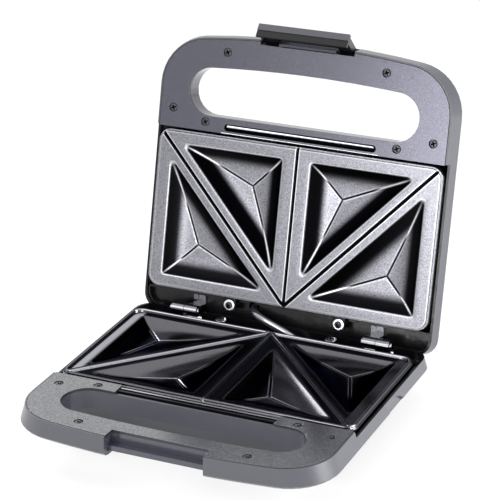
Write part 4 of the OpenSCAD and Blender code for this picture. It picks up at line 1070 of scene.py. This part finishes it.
class TOASTER_OT_shells(bpy.types.Operator):
    """Dressed copies of the shells, covers, latch, hinge pieces, feet and gland, and the vent slot's strip"""

    bl_idname = "toaster.shells"
    bl_label = "Shells, covers and latch"

    def execute(self, context):
        sizes = context.scene.toaster_sizes
        for body in ("base", "lid"):
            dressed_copy(body + "_housing", finish_named("shell"), sizes.shell_edge, where=shell_finish,
                         body=body, more=[finish_named(key) for key in ("inside", "grip", "rail")])
            dressed_copy(body + "_handle_cover", finish_named(body + "_cover"), sizes.cover_edge,
                         where=cover_finish, body=body, more=[finish_named("cover_edge")])
        dressed_copy("latch", finish_named("shell"), sizes.cover_edge, where=latch_finish, body="lid",
                     more=[finish_named("inside")])
        for node, finish, rounding in SMALL_PIECES:
            dressed_copy(node, finish_named(finish), rounding * MM)
        parts = []
        # Each slab's painted shade and painted highlight go into the strip's tone
        for half, s0, s1, d0, d1, corner, edge, dark, bright in VENT_SLABS:
            points, faces = slab(-half, half, s0, s1, d0, d1, corner, edge)
            parts.append((points, faces, np.tile([dark, bright], (len(points), 1))))
        gathered("lid_vent_strip", parts, in_lid, finish_named("strip"), "lid_vent_bar",
                 slot=SLOT_OF["lid_vent_bar"])
        return {"FINISHED"}


class TOASTER_OT_plates(bpy.types.Operator):
    """Upper and lower cooking plates with their pockets, ridges and grooves"""

    bl_idname = "toaster.plates"
    bl_label = "Cooking plates"

    def execute(self, context):
        for half in PLATES:
            cooking_plate(half, finish_named(half + "_coating"))
        return {"FINISHED"}


class TOASTER_OT_screws(bpy.types.Operator):
    """Cross-head screws of the covers, and the plates' screws with their washers"""

    bl_idname = "toaster.screws"
    bl_label = "Screws and washers"

    def execute(self, context):
        radius = context.scene.toaster_sizes.screw_head / MM
        for half, place in (("base", in_base), ("lid", in_lid)):
            heads = [polar_head(x, s, radius=radius, **COVER_HEAD) for x, s in COVER_SCREWS]
            node = half + "_cover_screws"
            gathered(half + "_cover_screw_heads", heads, place, finish_named("phosphated"), node,
                     slot=SLOT_OF[node])
            fittings = []
            for side in (-1, 1):
                fittings.append(polar_head(side * TAB_X, TAB_S, **PLATE_HEAD))
                fittings.append(washer_ring(side * TAB_X, TAB_S, **WASHER))
            node = half + "_plate_screws"
            gathered(half + "_plate_screw_heads", fittings, place, finish_named("zinc_head"), node,
                     slot=SLOT_OF[node])
        return {"FINISHED"}


class TOASTER_OT_sleeve(bpy.types.Operator):
    """Wiring sleeve between the base and the lid"""

    bl_idname = "toaster.sleeve"
    bl_label = "Wiring sleeve"

    def execute(self, context):
        ends = [in_lid((SLEEVE_START[0], SLEEVE_START[1], TROUGH_UNDER)),
                in_lid((SLEEVE_START[0] - 0.5, SLEEVE_START[1] - 5, -2.0)),
                in_base((SLEEVE_END[0] - 9, SLEEVE_END[1] + 2.5, AXIS_DROP - 1)),
                in_base((SLEEVE_END[0], SLEEVE_END[1], TROUGH_UNDER))]
        points, faces = carried_ring(bezier_path(ends, 72), context.scene.toaster_sizes.sleeve, 28)
        piece = new_piece("wiring_sleeve_tube", points, faces, finish_named("silicone"), None,
                          SLOT_OF["wiring_sleeve"], smooth=50, replaces=("wiring_sleeve",))
        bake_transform(piece)
        return {"FINISHED"}


OPERATORS = (TOASTER_OT_stage, TOASTER_OT_finishes, TOASTER_OT_shells, TOASTER_OT_plates,
             TOASTER_OT_screws, TOASTER_OT_sleeve)


class TOASTER_PT_panel(bpy.types.Panel):
    """Lists the toaster's operators and what a user may change"""

    bl_idname = "TOASTER_PT_panel"
    bl_label = "Sandwich toaster"
    bl_space_type = "VIEW_3D"
    bl_region_type = "UI"
    bl_category = "Toaster"

    def draw(self, context):
        for operator in OPERATORS:
            self.layout.operator(operator.bl_idname)
        for group, kind in GROUPS.items():
            for name in kind.__annotations__:
                self.layout.prop(getattr(context.scene, group), name)


CLASSES = (*GROUPS.values(), *OPERATORS, TOASTER_PT_panel)


def register():
    for cls in CLASSES:
        bpy.utils.register_class(cls)
    for group, kind in GROUPS.items():
        setattr(bpy.types.Scene, group, bpy.props.PointerProperty(type=kind))


def unregister():
    for group in GROUPS:
        delattr(bpy.types.Scene, group)
    for cls in reversed(CLASSES):
        bpy.utils.unregister_class(cls)


def main():
    register()
    for operator in OPERATORS:
        group, name = operator.bl_idname.split(".")
        getattr(getattr(bpy.ops, group), name)()


if __name__ == "__main__":
    main()
